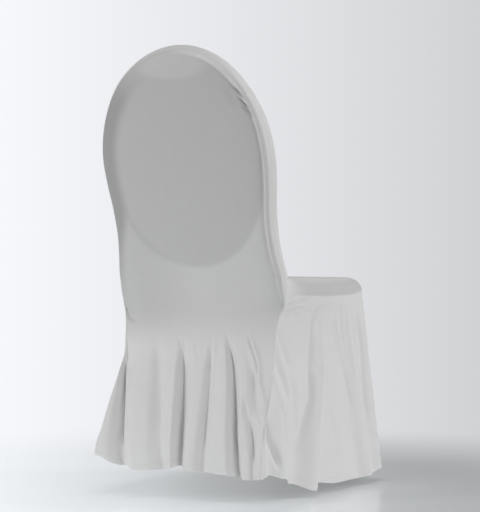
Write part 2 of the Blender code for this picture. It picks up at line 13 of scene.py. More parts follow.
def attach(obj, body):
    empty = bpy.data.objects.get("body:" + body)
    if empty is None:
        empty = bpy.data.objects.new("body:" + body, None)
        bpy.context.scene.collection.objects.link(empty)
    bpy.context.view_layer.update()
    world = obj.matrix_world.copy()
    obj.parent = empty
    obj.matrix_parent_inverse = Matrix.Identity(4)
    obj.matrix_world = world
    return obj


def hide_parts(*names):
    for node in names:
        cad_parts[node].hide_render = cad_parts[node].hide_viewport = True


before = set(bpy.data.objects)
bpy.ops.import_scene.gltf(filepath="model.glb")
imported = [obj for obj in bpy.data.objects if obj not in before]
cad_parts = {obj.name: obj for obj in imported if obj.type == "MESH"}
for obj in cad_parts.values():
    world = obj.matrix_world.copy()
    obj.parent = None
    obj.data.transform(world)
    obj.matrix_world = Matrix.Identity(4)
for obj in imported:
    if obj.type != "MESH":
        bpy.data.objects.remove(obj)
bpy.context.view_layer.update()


# The back panel: one piece of white polyester and elastane knit, cut with a round top and flared
# below the waist.  It is drawn tight over an oval of padding, whose grey is mixed into it a little
# with painted shade, and falls in soft folds from the waist to a stitched hem.

# The frame's origin, the cloth, the hood's arch, the bulge of the band beside it, and how the rear
# and front faces are crowned
CREST = (0.0, -7.0, 939.0)
MM_PER_M = 1000.0
KNIT_THICKNESS = 1.2
WAIST = 400.0
ARCH_CENTRE = 700.0
ARCH_HALF_WIDTH = 194.5
ARCH_HEIGHT = 240.0
ARCH_CORNER = 42.0
BAND_BULGE_SIDE = 3.0
BAND_BULGE_TOP = 12.0
BAND_BULGE_LENGTH = 60.0
FRONT_CROWN = 12.0
CROWN_POWER = 12.0
SKIRT_CROWN_POWER = 2.5
CROWN_CHANGE_FROM = 360.0
CROWN_CHANGE_LENGTH = 90.0
MIDDLE_SMOOTHING = (-30.0, -18.0, -6.0, 6.0, 18.0, 30.0)

# The three heights at which the fold table gives the folds' places, and the shape of the folds
BACK_FOLD_LEVELS = (345.0, 205.0, 60.0)
BACK_FOLD_FLOOR = 60.0
FOLD_START_LENGTH = 85.0
BACK_DROP_SKEW = 2.4
BACK_RISE_SKEW = 1.1

# Section of the cover at each height: half width, rear line at the edges, how far the middle of
# the rear face stands behind that line, and the depth of the side band
Section = namedtuple("Section", "height half_width rear crown depth")
SECTIONS = [
    Section(940.0, 194.5, 14.0, 12.0, 42.0),
    Section(870.0, 194.5, 10.0, 12.0, 42.0),
    Section(800.0, 194.5, -4.0, 12.0, 42.0),
    Section(700.0, 194.5, -23.0, 12.0, 42.0),
    Section(650.0, 191.5, -36.0, 12.0, 40.0),
    Section(600.0, 185.5, -49.0, 12.0, 38.0),
    Section(550.0, 183.5, -63.0, 12.0, 36.0),
    Section(500.0, 187.5, -77.0, 12.0, 34.0),
    Section(460.0, 193.0, -90.0, 12.0, 31.0),
    Section(426.0, 192.0, -99.0, 13.0, 20.0),
    Section(400.0, 190.5, -107.0, 16.0, 6.0),
    Section(380.0, 183.0, -101.0, 11.0, 0.0),
    Section(340.0, 177.5, -92.0, 7.0, 0.0),
    Section(300.0, 177.0, -87.0, 6.0, 0.0),
    Section(250.0, 181.5, -66.0, 0.0, 0.0),
    Section(200.0, 185.0, -38.0, -6.0, 0.0),
    Section(140.0, 189.5, -9.0, -10.0, 0.0),
    Section(100.0, 195.0, 7.0, -10.0, 0.0),
    Section(50.0, 196.0, 13.0, -10.0, 0.0),
]

# Folds: place along the panel at three levels (0 left, 1 right), how far each stands out at the
# hem, the height at which it starts, how fast it grows and its hem's height
Fold = namedtuple("Fold", "name top mid hem out start growth hem_height")
BACK_FOLDS = [
    Fold("left corner seam", 0.000, 0.000, 0.000, 0.0, 350.0, 1.0, 84.0),
    Fold("left flap valley", 0.012, 0.045, 0.150, -24.0, 345.0, 1.7, 62.0),
    Fold("left broad crest", 0.100, 0.175, 0.245, 9.0, 350.0, 1.5, 57.0),
    Fold("soft valley", 0.190, 0.296, 0.400, -8.0, 350.0, 1.5, 59.0),
    Fold("second crest", 0.310, 0.385, 0.450, 8.0, 350.0, 1.5, 63.0),
    Fold("deep middle valley", 0.372, 0.438, 0.490, -18.0, 348.0, 1.8, 68.0),
    Fold("third crest", 0.480, 0.530, 0.558, 6.0, 346.0, 1.5, 60.0),
    Fold("third valley", 0.578, 0.612, 0.630, -11.0, 344.0, 1.5, 58.0),
    Fold("fourth crest", 0.645, 0.725, 0.775, 9.0, 350.0, 1.6, 57.0),
    Fold("deep right valley", 0.700, 0.768, 0.840, -19.0, 348.0, 1.8, 53.0),
    Fold("small crest", 0.755, 0.832, 0.893, -2.0, 300.0, 1.5, 48.0),
    Fold("right valley", 0.800, 0.885, 0.940, -10.0, 350.0, 1.6, 48.0),
    Fold("slanting ridge", 0.850, 0.945, 0.975, 0.0, 350.0, 2.2, 50.0),
    Fold("right corner seam", 1.000, 1.000, 1.000, 0.0, 350.0, 1.0, 51.0),
]

# Creases given one by one: a line through points (across the panel, height), how far the cloth
# stands out along it (a trough is negative), and half the crease's width
Crease = namedtuple("Crease", "name line out width")
BACK_CREASES = [
    Crease("waist nip", ((187, 392), (179, 387), (171, 369), (157, 365)), -3.0, 4.5),
    Crease("waist nip lower lip", ((184, 378), (172, 360), (150, 354)), 1.6, 6.0),
    Crease("flap edge", ((180, 292), (174, 241), (159, 181), (149, 121), (139, 90)), -15.0, 4.5),
    Crease("flap lip", ((172, 276), (164, 241), (149, 181), (138, 121), (129, 87)), 2.4, 5.0),
    Crease("soft trough", ((98, 322), (83, 252), (69, 188), (56, 124)), -4.8, 12.0),
    Crease("wrinkle on the crest", ((129, 233), (103, 200), (89, 183)), 0.8, 4.0),
    Crease("middle tuck, left", ((45, 332), (38, 301), (36, 260)), -2.2, 3.0),
    Crease("middle tuck, right", ((31, 334), (33, 297), (31, 258)), -2.2, 3.0),
    Crease("middle drop", ((37, 300), (36, 271), (26, 211), (11, 126), (2, 71)), -8.5, 4.2),
    Crease("middle drop lip", ((48, 296), (46, 271), (36, 211), (21, 126), (12, 71)), 3.0, 5.0),
    Crease("middle drop floor", ((27, 296), (25, 271), (14, 211), (-1, 126), (-10, 71)), -4.5, 8.0),
    Crease("short tuck, left", ((9, 328), (-2, 298), (-13, 270)), -1.3, 3.0),
    Crease("short tuck, right", ((-16, 333), (-15, 280)), -1.3, 3.0),
    Crease("third ridge", ((-41, 334), (-43, 256), (-54, 171), (-64, 92)), 3.4, 4.5),
    Crease("third trough", ((-32, 328), (-32, 256), (-43, 171), (-53, 86)), -5.6, 6.0),
    Crease("right drop", ((-67, 340), (-77, 292), (-87, 245), (-108, 174), (-129, 66)), -9.5, 4.4),
    Crease("right drop lip", ((-60, 332), (-70, 292), (-83, 245), (-105, 174)), 1.6, 5.0),
    Crease("right drop floor", ((-78, 330), (-88, 292), (-98, 245), (-119, 174), (-139, 66)),
           -3.0, 7.0),
    Crease("small light lip", ((-120, 216), (-127, 174), (-135, 120)), 2.2, 4.0),
    Crease("small drop", ((-126, 210), (-140, 175), (-162, 126), (-178, 72)), -7.0, 4.5),
    Crease("right hollow", ((-132, 228), (-148, 188), (-166, 140), (-178, 92)), -4.0, 9.0),
    Crease("slanting ridge",
           ((-121, 342), (-136, 306), (-146, 285), (-157, 243), (-172, 218), (-186, 189)), 5.2, 4.2),
    Crease("under the ridge", ((-116, 338), (-130, 306), (-141, 280), (-152, 245)), -4.0, 4.5),
    Crease("lower trough", ((-132, 272), (-145, 226), (-159, 186), (-177, 156)), -8.5, 6.5),
    Crease("lower ridge", ((-153, 238), (-169, 205), (-184, 172)), 2.4, 4.0),
    Crease("pucker slit", ((-134, 872), (-151, 853), (-166, 830)), -5.6, 2.7),
    Crease("pucker lip", ((-129, 864), (-145, 846), (-160, 824)), 3.2, 2.8),
    Crease("second slit", ((-133, 852), (-149, 834), (-168, 814)), -5.0, 2.6),
    Crease("second lip", ((-136, 842), (-150, 826), (-167, 808)), 3.0, 2.8),
    Crease("third slit", ((-140, 832), (-155, 816), (-173, 798)), -4.4, 2.6),
    Crease("fourth slit", ((-148, 814), (-162, 800), (-177, 784)), -3.4, 2.8),
    Crease("pucker hollow", ((-122, 852), (-130, 832), (-144, 812)), -2.4, 10.0),
    Crease("top rim tuck", ((60, 916), (0, 924), (-70, 912)), -0.5, 4.0),
]


def steady_curve(where, knots, values):
    """A smooth curve through the knots that never overshoots (monotone cubic pieces)."""
    order = np.argsort(knots)
    x = np.asarray(knots, float)[order]
    y = np.asarray(values, float)[order]
    step = np.diff(x)
    slope = np.diff(y) / step
    same_way = slope[:-1] * slope[1:] > 0
    safe = np.where(same_way, slope[:-1] + slope[1:], 1.0)
    bend = np.where(same_way, 2.0 * slope[:-1] * slope[1:] / safe, 0.0)
    tangent = np.concatenate([slope[:1], bend, slope[-1:]])
    at = np.clip(where, x[0], x[-1])
    k = np.clip(np.searchsorted(x, at) - 1, 0, len(step) - 1)
    t = (at - x[k]) / step[k]
    start = y[k] * (1 + 2 * t) * (1 - t) ** 2 + tangent[k] * step[k] * t * (1 - t) ** 2
    end = y[k + 1] * t ** 2 * (3 - 2 * t) + tangent[k + 1] * step[k] * t ** 2 * (t - 1)
    return start + end


def section(height, column):
    """One column of the section table, read at any height."""
    knots = [row.height for row in SECTIONS]
    return steady_curve(height, knots, [getattr(row, column) for row in SECTIONS])


def ease(t):
    """0 to 1 with level ends: t squared times (3 - 2t)."""
    t = np.clip(t, 0.0, 1.0)
    return t * t * (3 - 2 * t)


# A soft change along a length: where it starts and how long it takes, negative if it goes back
Change = namedtuple("Change", "start length")


def changed(place, change):
    """How far a change has come at a place: 0 before it and 1 after it, eased between."""
    return ease((place - change.start) / change.length)


def seam_half_width(height):
    """Half width of the hood's seam line: the section's half width or half an ellipse, less the
    band's bulge."""
    half = section(height, "half_width") - BAND_BULGE_SIDE * ease((height - WAIST) / BAND_BULGE_LENGTH)
    rise = np.clip((height - ARCH_CENTRE) / (ARCH_HEIGHT - BAND_BULGE_TOP), 0.0, 1.0)
    return half * np.sqrt(1 - rise ** 2)


def rim_nearness(x, height):
    """0 in the middle of the hood's face and 1 on its seam line."""
    across = (x / seam_half_width(np.minimum(height, ARCH_CENTRE))) ** 2
    up = (np.maximum(height - ARCH_CENTRE, 0.0) / (ARCH_HEIGHT - BAND_BULGE_TOP)) ** 2
    return np.sqrt(across + up)


def rear_face(x, height):
    """The taut rear face: the raked rear line at the rim, and in the middle that line plus the
    crown, smoothed over some height.  The two are blended by a power of the nearness to the rim,
    softly in the skirt and sharply in the hood."""
    hood = ease((height - CROWN_CHANGE_FROM) / CROWN_CHANGE_LENGTH)
    power = SKIRT_CROWN_POWER + (CROWN_POWER - SKIRT_CROWN_POWER) * hood
    fall = np.clip(rim_nearness(x, height), 0.0, 1.0) ** power
    levels = [height + step for step in MIDDLE_SMOOTHING]
    middle = sum(section(h, "rear") + section(h, "crown") for h in levels) / len(levels)
    return section(height, "rear") * fall + middle * (1 - fall)


def front_face(x, height):
    """The hood's front face: the rear seam's line moved forward by the band, and padded."""
    fall = np.clip(rim_nearness(x, height), 0.0, 1.0) ** CROWN_POWER
    return section(height, "rear") - section(height, "depth") - FRONT_CROWN * (1 - fall)


def fold_places(folds, column, height, levels):
    """Place along the panel of each grid column (counted in folds) at a height: a parabola
    through the three levels of the table, held above the top level."""
    index = np.arange(len(folds))
    top, mid, hem = (np.interp(column, index, [getattr(f, name) for f in folds])
                     for name in ("top", "mid", "hem"))
    a, b, c = levels
    h = np.minimum(height, a)
    return (top * (h - b) * (h - c) / ((a - b) * (a - c))
            + mid * (h - a) * (h - c) / ((b - a) * (b - c))
            + hem * (h - a) * (h - b) / ((c - a) * (c - b)))


def wave(values, column):
    """From crest to valley and back through the table's values, level at each of them."""
    low = np.clip(np.floor(column).astype(int), 0, len(values) - 2)
    t = (1 - np.cos(np.pi * (column - low))) / 2
    values = np.asarray(values, float)
    return values[low] * (1 - t) + values[low + 1] * t


def fold_depth(folds, column, height, floor, drop_skew, rise_skew):
    """How far the cloth stands out at a grid column and height: each fold grows from its start
    down to the hem, and the cloth between two folds is a cosine with its time skewed: late
    where it drops from a crest and early where it rises from a valley."""
    grown = []
    for fold in folds:
        t = np.clip((fold.start - height) / (fold.start - floor), 0.0, 1.0)
        size = (1 - (1 - t) ** fold.growth) * ease((fold.start - height) / FOLD_START_LENGTH)
        grown.append(fold.out * size)
    grown = np.array(grown)
    low = np.clip(np.floor(column).astype(int), 0, len(folds) - 2)
    t = np.clip(column - low, 0.0, 1.0)
    t = np.where(low % 2 == 0, t ** drop_skew, 1 - (1 - t) ** rise_skew)
    t = (1 - np.cos(np.pi * t)) / 2
    columns = np.arange(len(column))
    return grown[low, :, columns].T * (1 - t) + grown[low + 1, :, columns].T * t


# A crease fades to this least share of its height over this share of its line at either end, and
# those of the back stop at this share of the face inside the hood's seam
CREASE_LEAST = 0.15
CREASE_FADE = 0.2
CREASE_RIM = 0.02


def crease_relief(across, height, creases):
    """Sum of the creases at each point: a bell curve of the distance to the crease's line, which
    fades to its least share over the first and last fifth of the line."""
    total = np.zeros_like(across)
    for crease in creases:
        line = np.array(crease.line, float)
        legs = np.hypot(*np.diff(line, axis=0).T)
        starts = np.concatenate([[0.0], np.cumsum(legs)])
        nearest = np.full(across.shape, np.inf)
        along = np.zeros_like(across)
        for k in range(len(legs)):
            step = line[k + 1] - line[k]
            t = ((across - line[k, 0]) * step[0] + (height - line[k, 1]) * step[1]) / legs[k] ** 2
            t = np.clip(t, 0.0, 1.0)
            gap = np.hypot(across - line[k, 0] - t * step[0], height - line[k, 1] - t * step[1])
            along = np.where(gap < nearest, (starts[k] + t * legs[k]) / starts[-1], along)
            nearest = np.minimum(gap, nearest)
        fade = ease(along / CREASE_FADE) * ease((1 - along) / CREASE_FADE)
        share = CREASE_LEAST + (1 - CREASE_LEAST) * fade
        total += crease.out * np.exp(-(nearest / crease.width) ** 2) * share
    return total


def patch(bottom, top, first, last):
    """A grid inside four edges that meet at its corners (transfinite blending).
    The bottom and top edges run from the first edge to the last, and those from bottom to top."""
    rows, columns = len(first), len(bottom)
    u = np.linspace(0.0, 1.0, columns)[None, :, None]
    v = np.linspace(0.0, 1.0, rows)[:, None, None]
    across = first[:, None] * (1 - u) + last[:, None] * u
    along = bottom[None] * (1 - v) + top[None] * v
    corners = ((bottom[0] * (1 - u) + bottom[-1] * u) * (1 - v)
               + (top[0] * (1 - u) + top[-1] * u) * v)
    return across + along - corners


def arch_line(count, start, end):
    """Points (x, height) of the hood's seam between two angles, 0 on the right, 180 on the left:
    half an ellipse."""
    angle = np.radians(np.linspace(start, end, count))
    x = -(ARCH_HALF_WIDTH - BAND_BULGE_SIDE) * np.cos(angle)
    return np.stack([x, ARCH_CENTRE + (ARCH_HEIGHT - BAND_BULGE_TOP) * np.sin(angle)], 1)


# Rows near the hem stand close together, so that its stitch line is a real groove
HEM_WIDTH = 10.0
HEM_LIFT = 0.5
HEM_STEP = 2.0
STITCH_DEPTH = 0.55
STITCH_WIDTH = 0.9
HEM_ROWS = (0.0, 1.5, 4.0, 7.0, 8.6, 9.4, 10.0, 10.6, 11.4, 13.0, 17.0)
HEM_DROP = 340.0


def drop_shares(rows):
    """How far each row is from the hem (0) to the waist or seat seam (1)."""
    close = np.array(HEM_ROWS) / HEM_DROP
    return np.concatenate([close, np.linspace(close[-1], 1.0, rows + 1)[1:]])


def hem_relief(rise):
    """The turned-up hem stands out by one more layer below its stitch line, and the stitches
    pull a narrow groove."""
    turned = HEM_LIFT * (1 - ease((rise - HEM_WIDTH + HEM_STEP / 2) / HEM_STEP))
    return turned - STITCH_DEPTH * np.exp(-((rise - HEM_WIDTH) / STITCH_WIDTH) ** 2)


# The welt beside the hood's seam, by the distance from the seam.  It is full on the right and weak
# on the left, and starts above the waist.
WELT_OUT = 2.6
WELT_PLACE = 3.6
WELT_WIDTH = 2.2
WELT_GROOVE = 1.5
WELT_GROOVE_PLACE = 9.36
WELT_LEFT_SHARE = 0.1
WELT_TO_RIGHT = Change(20.0, -120.0)
WELT_FROM_SEAM = Change(0.0, 2.0)
WELT_FROM_WAIST = Change(405.0, 40.0)


def seam_gap(x, height):
    """Distance in millimetres from the hood's seam line, measured in the panel."""
    return (1 - rim_nearness(x, height)) * seam_half_width(np.minimum(height, ARCH_CENTRE))


def welt_relief(x, height):
    """Beside the hood's seam, most on the right, the allowance lifts the panel in a narrow welt,
    with a groove where its stitches hold it down: two bell curves of the distance to the seam."""
    gap = seam_gap(x, height)
    welt = WELT_OUT * np.exp(-((gap - WELT_PLACE) / WELT_WIDTH) ** 2)
    groove = WELT_GROOVE * np.exp(-((gap - WELT_GROOVE_PLACE) / WELT_WIDTH) ** 2)
    share = WELT_LEFT_SHARE + (1 - WELT_LEFT_SHARE) * changed(x, WELT_TO_RIGHT)
    share = share * changed(gap, WELT_FROM_SEAM) * changed(height, WELT_FROM_WAIST)
    return (welt - groove) * share


# Grid lines of the back panel: columns from a crest to a valley, rows in the skirt, stations at the
# band's tip, rows up the hood and rows beside the arch
BACK_PER_FOLD = 14
BACK_SKIRT_ROWS = 96
BACK_TIP_LEVELS = 15
BACK_HOOD_ROWS = 60
BACK_ARCH_ROWS = 56
SEAT_TOP = 454.0
TIP_RISE = 2.0


def tip_levels():
    """Heights of the band's lowest stations, from its tip to the seat's top: a quarter sine."""
    low = WAIST + TIP_RISE
    return low + (SEAT_TOP - low) * np.sin(np.linspace(0.0, np.pi / 2, BACK_TIP_LEVELS))


def back_panel_grid():
    """Rows from the hem to the top, columns from the left edge to the right one.  Below the
    waist the columns follow the folds, and above it they spread out evenly under the arch."""
    column = np.linspace(0.0, len(BACK_FOLDS) - 1, BACK_PER_FOLD * (len(BACK_FOLDS) - 1) + 1)
    hem = wave([fold.hem_height for fold in BACK_FOLDS], column)
    share = drop_shares(BACK_SKIRT_ROWS)[:, None]
    skirt = hem[None] * (1 - share) + WAIST * share
    low = tip_levels()[1:]
    hood = np.linspace(SEAT_TOP, ARCH_CENTRE, BACK_HOOD_ROWS + 1)[1:]
    hood_levels = np.concatenate([low, hood])
    height = np.concatenate([skirt, np.repeat(hood_levels[:, None], len(column), 1)])
    place = fold_places(BACK_FOLDS, column[None], height, BACK_FOLD_LEVELS)
    even = np.linspace(0.0, 1.0, len(column))[None]
    spread = ease((height - WAIST) / (ARCH_CENTRE - WAIST))
    place = place * (1 - spread) + even * spread
    half = np.where(height > WAIST, seam_half_width(height), section(height, "half_width"))
    lower = np.stack([half * (1 - 2 * place), height], 2)
    right = arch_line(BACK_ARCH_ROWS + 1, 0.0, ARCH_CORNER)
    left = arch_line(BACK_ARCH_ROWS + 1, 180.0, 180.0 - ARCH_CORNER)
    top = arch_line(len(column), 180.0 - ARCH_CORNER, ARCH_CORNER)
    upper = patch(lower[-1], top, left, right)
    flat = np.concatenate([lower, upper[1:]])
    x, height = flat[..., 0], flat[..., 1]
    out = np.zeros_like(x)
    rows = len(skirt)
    out[:rows] = fold_depth(BACK_FOLDS, column, height[:rows], BACK_FOLD_FLOOR,
                            BACK_DROP_SKEW, BACK_RISE_SKEW)
    rise = height - hem[None]
    edge = ease((1 - rim_nearness(x, height)) / CREASE_RIM)
    creases = crease_relief(x, height, BACK_CREASES) * edge
    hem_turn = hem_relief(rise) * (rise < HEM_DROP / 2)
    relief = creases + hem_turn + welt_relief(x, height)
    return np.stack([x, rear_face(x, height) + out + relief, height], 2)


def length_along(points, axis):
    """Length of cloth along one way of the grid, from its first row or column."""
    step = np.linalg.norm(np.diff(points, axis=axis), axis=2)
    start = np.zeros_like(np.take(step, [0], axis=axis))
    return np.concatenate([start, np.cumsum(step, axis=axis)], axis=axis)


NO_SEAM_NEAR = 1000.0


def near_seam(grid, sewn):
    """Distance of each point from the nearest sewn edge, and its place along that edge."""
    down, side = length_along(grid, 0), length_along(grid, 1)
    gaps = {"first_row": down, "last_row": down[-1:] - down,
            "first_column": side, "last_column": side[:, -1:] - side}
    gap = np.full(down.shape, NO_SEAM_NEAR)
    run = side.copy()
    for edge in sewn:
        closer = gaps[edge] < gap
        run = np.where(closer, side if "row" in edge else down, run)
        gap = np.minimum(gaps[edge], gap)
    return gap, run


def cloth_piece(name, grid, facing, sewn, hem_row, through, material):
    """One cut piece as a mesh: the grid's points moved to the frame, its cut edges shaded sharp, and
    a cloth map in metres.  The material reads four values at each point: the millimetres from the
    hem and from the nearest seam, the millimetres along that seam, and a grey tone: what lies
    under the cloth, with painted shade and painted light in it."""
    rows, columns = grid.shape[:2]
    points = ((grid - np.array(CREST)) / MM_PER_M).reshape(-1, 3)
    index = np.arange(rows * columns).reshape(rows, columns)
    cell = np.stack([index[:-1, :-1], index[:-1, 1:], index[1:, 1:], index[1:, :-1]], 2)
    cell = cell[..., ::facing].reshape(-1, 4)
    mesh = bpy.data.meshes.new(name)
    mesh.from_pydata(points.tolist(), [], cell.tolist())
    mesh.shade_smooth()
    ends = np.empty(2 * len(mesh.edges), np.int32)
    mesh.edges.foreach_get("vertices", ends)
    row, column = np.divmod(ends.reshape(-1, 2), columns)
    cut = (row % (rows - 1) == 0).all(axis=1) | (column % (columns - 1) == 0).all(axis=1)
    mesh.attributes.new("sharp_edge", "BOOLEAN", "EDGE").data.foreach_set("value", cut)
    side, down = length_along(grid, 1), length_along(grid, 0)
    side = side - side[:, columns // 2][:, None]
    flat = np.stack([side, down], 2).reshape(-1, 2) / MM_PER_M
    layer = mesh.uv_layers.new(name="cloth")
    layer.data.foreach_set("uv", flat[cell.ravel()].astype(np.float32).ravel())
    gap, run = near_seam(grid, sewn)
    hem = down if hem_row == "first_row" else down[-1:] - down
    hem = hem if hem_row else np.full(down.shape, NO_SEAM_NEAR)
    read = {"hem_mm": hem, "seam_mm": gap, "run_mm": run, "through": through}
    for label, values in read.items():
        attribute = mesh.attributes.new(label, "FLOAT", "POINT")
        attribute.data.foreach_set("value", values.astype(np.float32).ravel())
    mesh.materials.append(material)
    piece = bpy.data.objects.new(name, mesh)
    bpy.context.collection.objects.link(piece)
    wall = piece.modifiers.new("knit thickness", "SOLIDIFY")
    wall.thickness = KNIT_THICKNESS / MM_PER_M
    wall.offset = 0.0
    wall.use_even_offset = False
    return piece


def hex_colour(code):
    """An sRGB hex value as linear red, green, blue and alpha."""
    value = np.array([int(code[k:k + 2], 16) / 255 for k in (0, 2, 4)])
    linear = np.where(value <= 0.04045, value / 12.92, ((value + 0.055) / 1.055) ** 2.4)
    return (*linear.tolist(), 1.0)


def add_node(tree, kind, settings=None, inputs=None, links=None):
    """A node with its settings, its input values and the sockets that its inputs are linked to."""
    node = tree.nodes.new(kind)
    for name, value in (settings or {}).items():
        setattr(node, name, value)
    for name, value in (inputs or {}).items():
        node.inputs[name].default_value = value
    for name, socket in (links or {}).items():
        tree.links.new(socket, node.inputs[name])
    return node


# White polyester and elastane knit, circular knitted and heat set.  It gives a matt white with a
# soft sheen at grazing angles, and each piece's tone mixes it towards a grey: the grey of what lies
# under it where it is drawn tight, and painted shade.  The wales are about 0.6 mm apart and would
# not show, so they are drawn 1.8 mm apart.
# The two spacings are in metres, the seam's and the stitches' lengths in millimetres.
KNIT_WHITE = "e7e6e5"
KNIT_GREY_AND_PAINTED_SHADE = "929191"
WALE_SPACING = 0.0018
COURSE_SPACING = 0.0022
COURSE_SHARE = 0.45
SEAM_PUCKER_LENGTH = 11.0
SEAM_PUCKER_REACH = 12.0
SEAM_PUCKER_SOFTNESS = 0.3
STITCH_LENGTH = 3.4
STITCH_GAP_SHARE = 0.35
STITCH_HALF_WIDTH = 1.0
MOTTLE_MIDDLE = 0.5
MOTTLE_RELIEF = 0.5
MOTTLE_TONE = 0.05
KNIT_TONE = 0.008
STITCH_TONE = 0.06

# What the material works out: a name, an operation, and the numbers or earlier names it is given
KNIT_SUMS = [
    ("wale angle", "MULTIPLY", "across", 2 * np.pi / WALE_SPACING),
    ("wale", "SINE", "wale angle"),
    ("course angle", "MULTIPLY", "down", 2 * np.pi / COURSE_SPACING),
    ("course", "SINE", "course angle"),
    ("low course", "MULTIPLY", "course", COURSE_SHARE),
    ("knit", "ADD", "wale", "low course"),
    ("pucker angle", "MULTIPLY", "run_mm", 2 * np.pi / SEAM_PUCKER_LENGTH),
    ("pucker wave", "SINE", "pucker angle"),
    ("seam distance", "DIVIDE", "seam_mm", SEAM_PUCKER_REACH),
    ("distance within reach", "SMOOTH_MIN", "seam distance", 1.0, SEAM_PUCKER_SOFTNESS),
    ("seam nearness", "SUBTRACT", 1.0, "distance within reach"),
    ("even pucker", "MULTIPLY", "pucker wave", "seam nearness"),
    ("pucker", "MULTIPLY", "even pucker", "uneven"),
    ("stitch count", "DIVIDE", "across", STITCH_LENGTH / MM_PER_M),
    ("place in the stitch", "FRACT", "stitch count"),
    ("dash", "GREATER_THAN", "place in the stitch", STITCH_GAP_SHARE),
    ("from the stitch line", "SUBTRACT", "hem_mm", HEM_WIDTH),
    ("stitch distance", "ABSOLUTE", "from the stitch line"),
    ("distance within the stitch", "MINIMUM", "stitch distance", STITCH_HALF_WIDTH),
    ("stitch nearness", "SUBTRACT", STITCH_HALF_WIDTH, "distance within the stitch"),
    ("stitch", "MULTIPLY", "dash", "stitch nearness"),
    ("soft relief", "MULTIPLY", "mottle", MOTTLE_RELIEF),
    ("mottle about 0", "SUBTRACT", "mottle", MOTTLE_MIDDLE),
    ("mottle tone", "MULTIPLY", "mottle about 0", MOTTLE_TONE),
    # The tone read as through: the grey of what lies under the cloth, with painted shade and painted
    # light in it
    ("mottled", "ADD", "through", "mottle tone"),
    ("knit tone", "MULTIPLY", "knit", KNIT_TONE),
    ("knitted", "ADD", "mottled", "knit tone"),
    ("stitch tone", "MULTIPLY", "stitch", STITCH_TONE),
    ("shade", "SUBTRACT", "knitted", "stitch tone"),
]


def stretch_knit():
    """The one material of the whole cover: its sums row by row, a colour between the white and the
    grey of what lies under it and of painted shade, four reliefs one on another, and a matt cloth with
    a sheen."""
    material = bpy.data.materials.new("white_polyester_elastane_knit")
    material.use_nodes = True
    tree = material.node_tree
    tree.nodes.clear()
    cloth = add_node(tree, "ShaderNodeUVMap", {"uv_map": "cloth"}).outputs["UV"]
    place = add_node(tree, "ShaderNodeTexCoord").outputs["Object"]
    axes = add_node(tree, "ShaderNodeSeparateXYZ", links={"Vector": cloth})
    uneven = add_node(tree, "ShaderNodeTexNoise", inputs={"Scale": 22.0, "Detail": 2.0},
                      links={"Vector": place})
    mottle = add_node(tree, "ShaderNodeTexNoise", inputs={"Scale": 60.0, "Detail": 4.0},
                      links={"Vector": place})
    found = {"across": axes.outputs["X"], "down": axes.outputs["Y"],
             "uneven": uneven.outputs["Fac"], "mottle": mottle.outputs["Fac"]}
    for label in ("hem_mm", "seam_mm", "run_mm", "through"):
        reader = add_node(tree, "ShaderNodeAttribute", {"attribute_name": label})
        found[label] = reader.outputs["Fac"]
    for label, operation, *terms in KNIT_SUMS:
        numbers = {k: term for k, term in enumerate(terms) if not isinstance(term, str)}
        earlier = {k: found[term] for k, term in enumerate(terms) if isinstance(term, str)}
        total = add_node(tree, "ShaderNodeMath", {"operation": operation}, numbers, earlier)
        found[label] = total.outputs["Value"]

    # Inputs 6 and 7 of a Mix node are its two colours, and output 2 is the mixed one
    # The white is mixed towards the grey of what lies under the cloth and of painted shade
    colour = add_node(tree, "ShaderNodeMix", {"data_type": "RGBA", "clamp_factor": True},
                      {6: hex_colour(KNIT_WHITE), 7: hex_colour(KNIT_GREY_AND_PAINTED_SHADE)},
                      {0: found["shade"]}).outputs[2]
    weave_bump = add_node(tree, "ShaderNodeBump", inputs={"Strength": 0.35, "Distance": 0.0002},
                          links={"Height": found["knit"]})
    soft_bump = add_node(tree, "ShaderNodeBump", inputs={"Strength": 0.5, "Distance": 0.0008},
                         links={"Height": found["soft relief"],
                                "Normal": weave_bump.outputs["Normal"]})
    seam_bump = add_node(tree, "ShaderNodeBump", inputs={"Strength": 0.6, "Distance": 0.0007},
                         links={"Height": found["pucker"], "Normal": soft_bump.outputs["Normal"]})
    stitch_bump = add_node(tree, "ShaderNodeBump", inputs={"Strength": 0.7, "Distance": 0.0004},
                           links={"Height": found["stitch"],
                                  "Normal": seam_bump.outputs["Normal"]})
    shader = add_node(tree, "ShaderNodeBsdfPrincipled",
                      inputs={"Roughness": 0.72, "Sheen Weight": 0.25, "Sheen Roughness": 0.5,
                              "Specular IOR Level": 0.25, "IOR": 1.5},
                      links={"Base Color": colour, "Normal": stitch_bump.outputs["Normal"]})
    add_node(tree, "ShaderNodeOutputMaterial", links={"Surface": shader.outputs["BSDF"]})
    return material


# The back panel's tone: the grey of the padded oval under it, with painted shade, painted shade in
# its darker rim and its outline on the left, and the plain cloth below.  Places and sizes are
# millimetres, but edges, outline, rim and the changes of an ellipse are shares of its radius or of
# the face.
PAD_CENTRE = (-9.0, 650.0)
PAD_HALF_WIDTH = 165.0
PAD_BELOW = 171.0
PAD_ABOVE = 255.0
PAD_EDGE = 0.035
PAD_EDGE_GROWTH = 1.8
PAD_GREY_AND_SHADE = 0.405
PAD_OUTLINE_SHADE = 0.09
PAD_OUTLINE_WIDTH = 0.045
PAD_OUTLINE_TO_LEFT = Change(15.0, 95.0)
PAD_TO_UPPER = Change(560.0, 90.0)
BELOW_PAD_SHOWS = 0.21
BELOW_PAD_LEFT_GREY_AND_SHADE = 0.37
BELOW_PAD_TO_LEFT = Change(-20.0, 150.0)
BELOW_PAD_FROM_WAIST = Change(290.0, 110.0)
RIM_GREY_AND_SHADE = 0.75
RIM_SHARE = 0.26
RIM_SHARE_BELOW = 0.15
RIM_WIDENS = Change(500.0, 110.0)
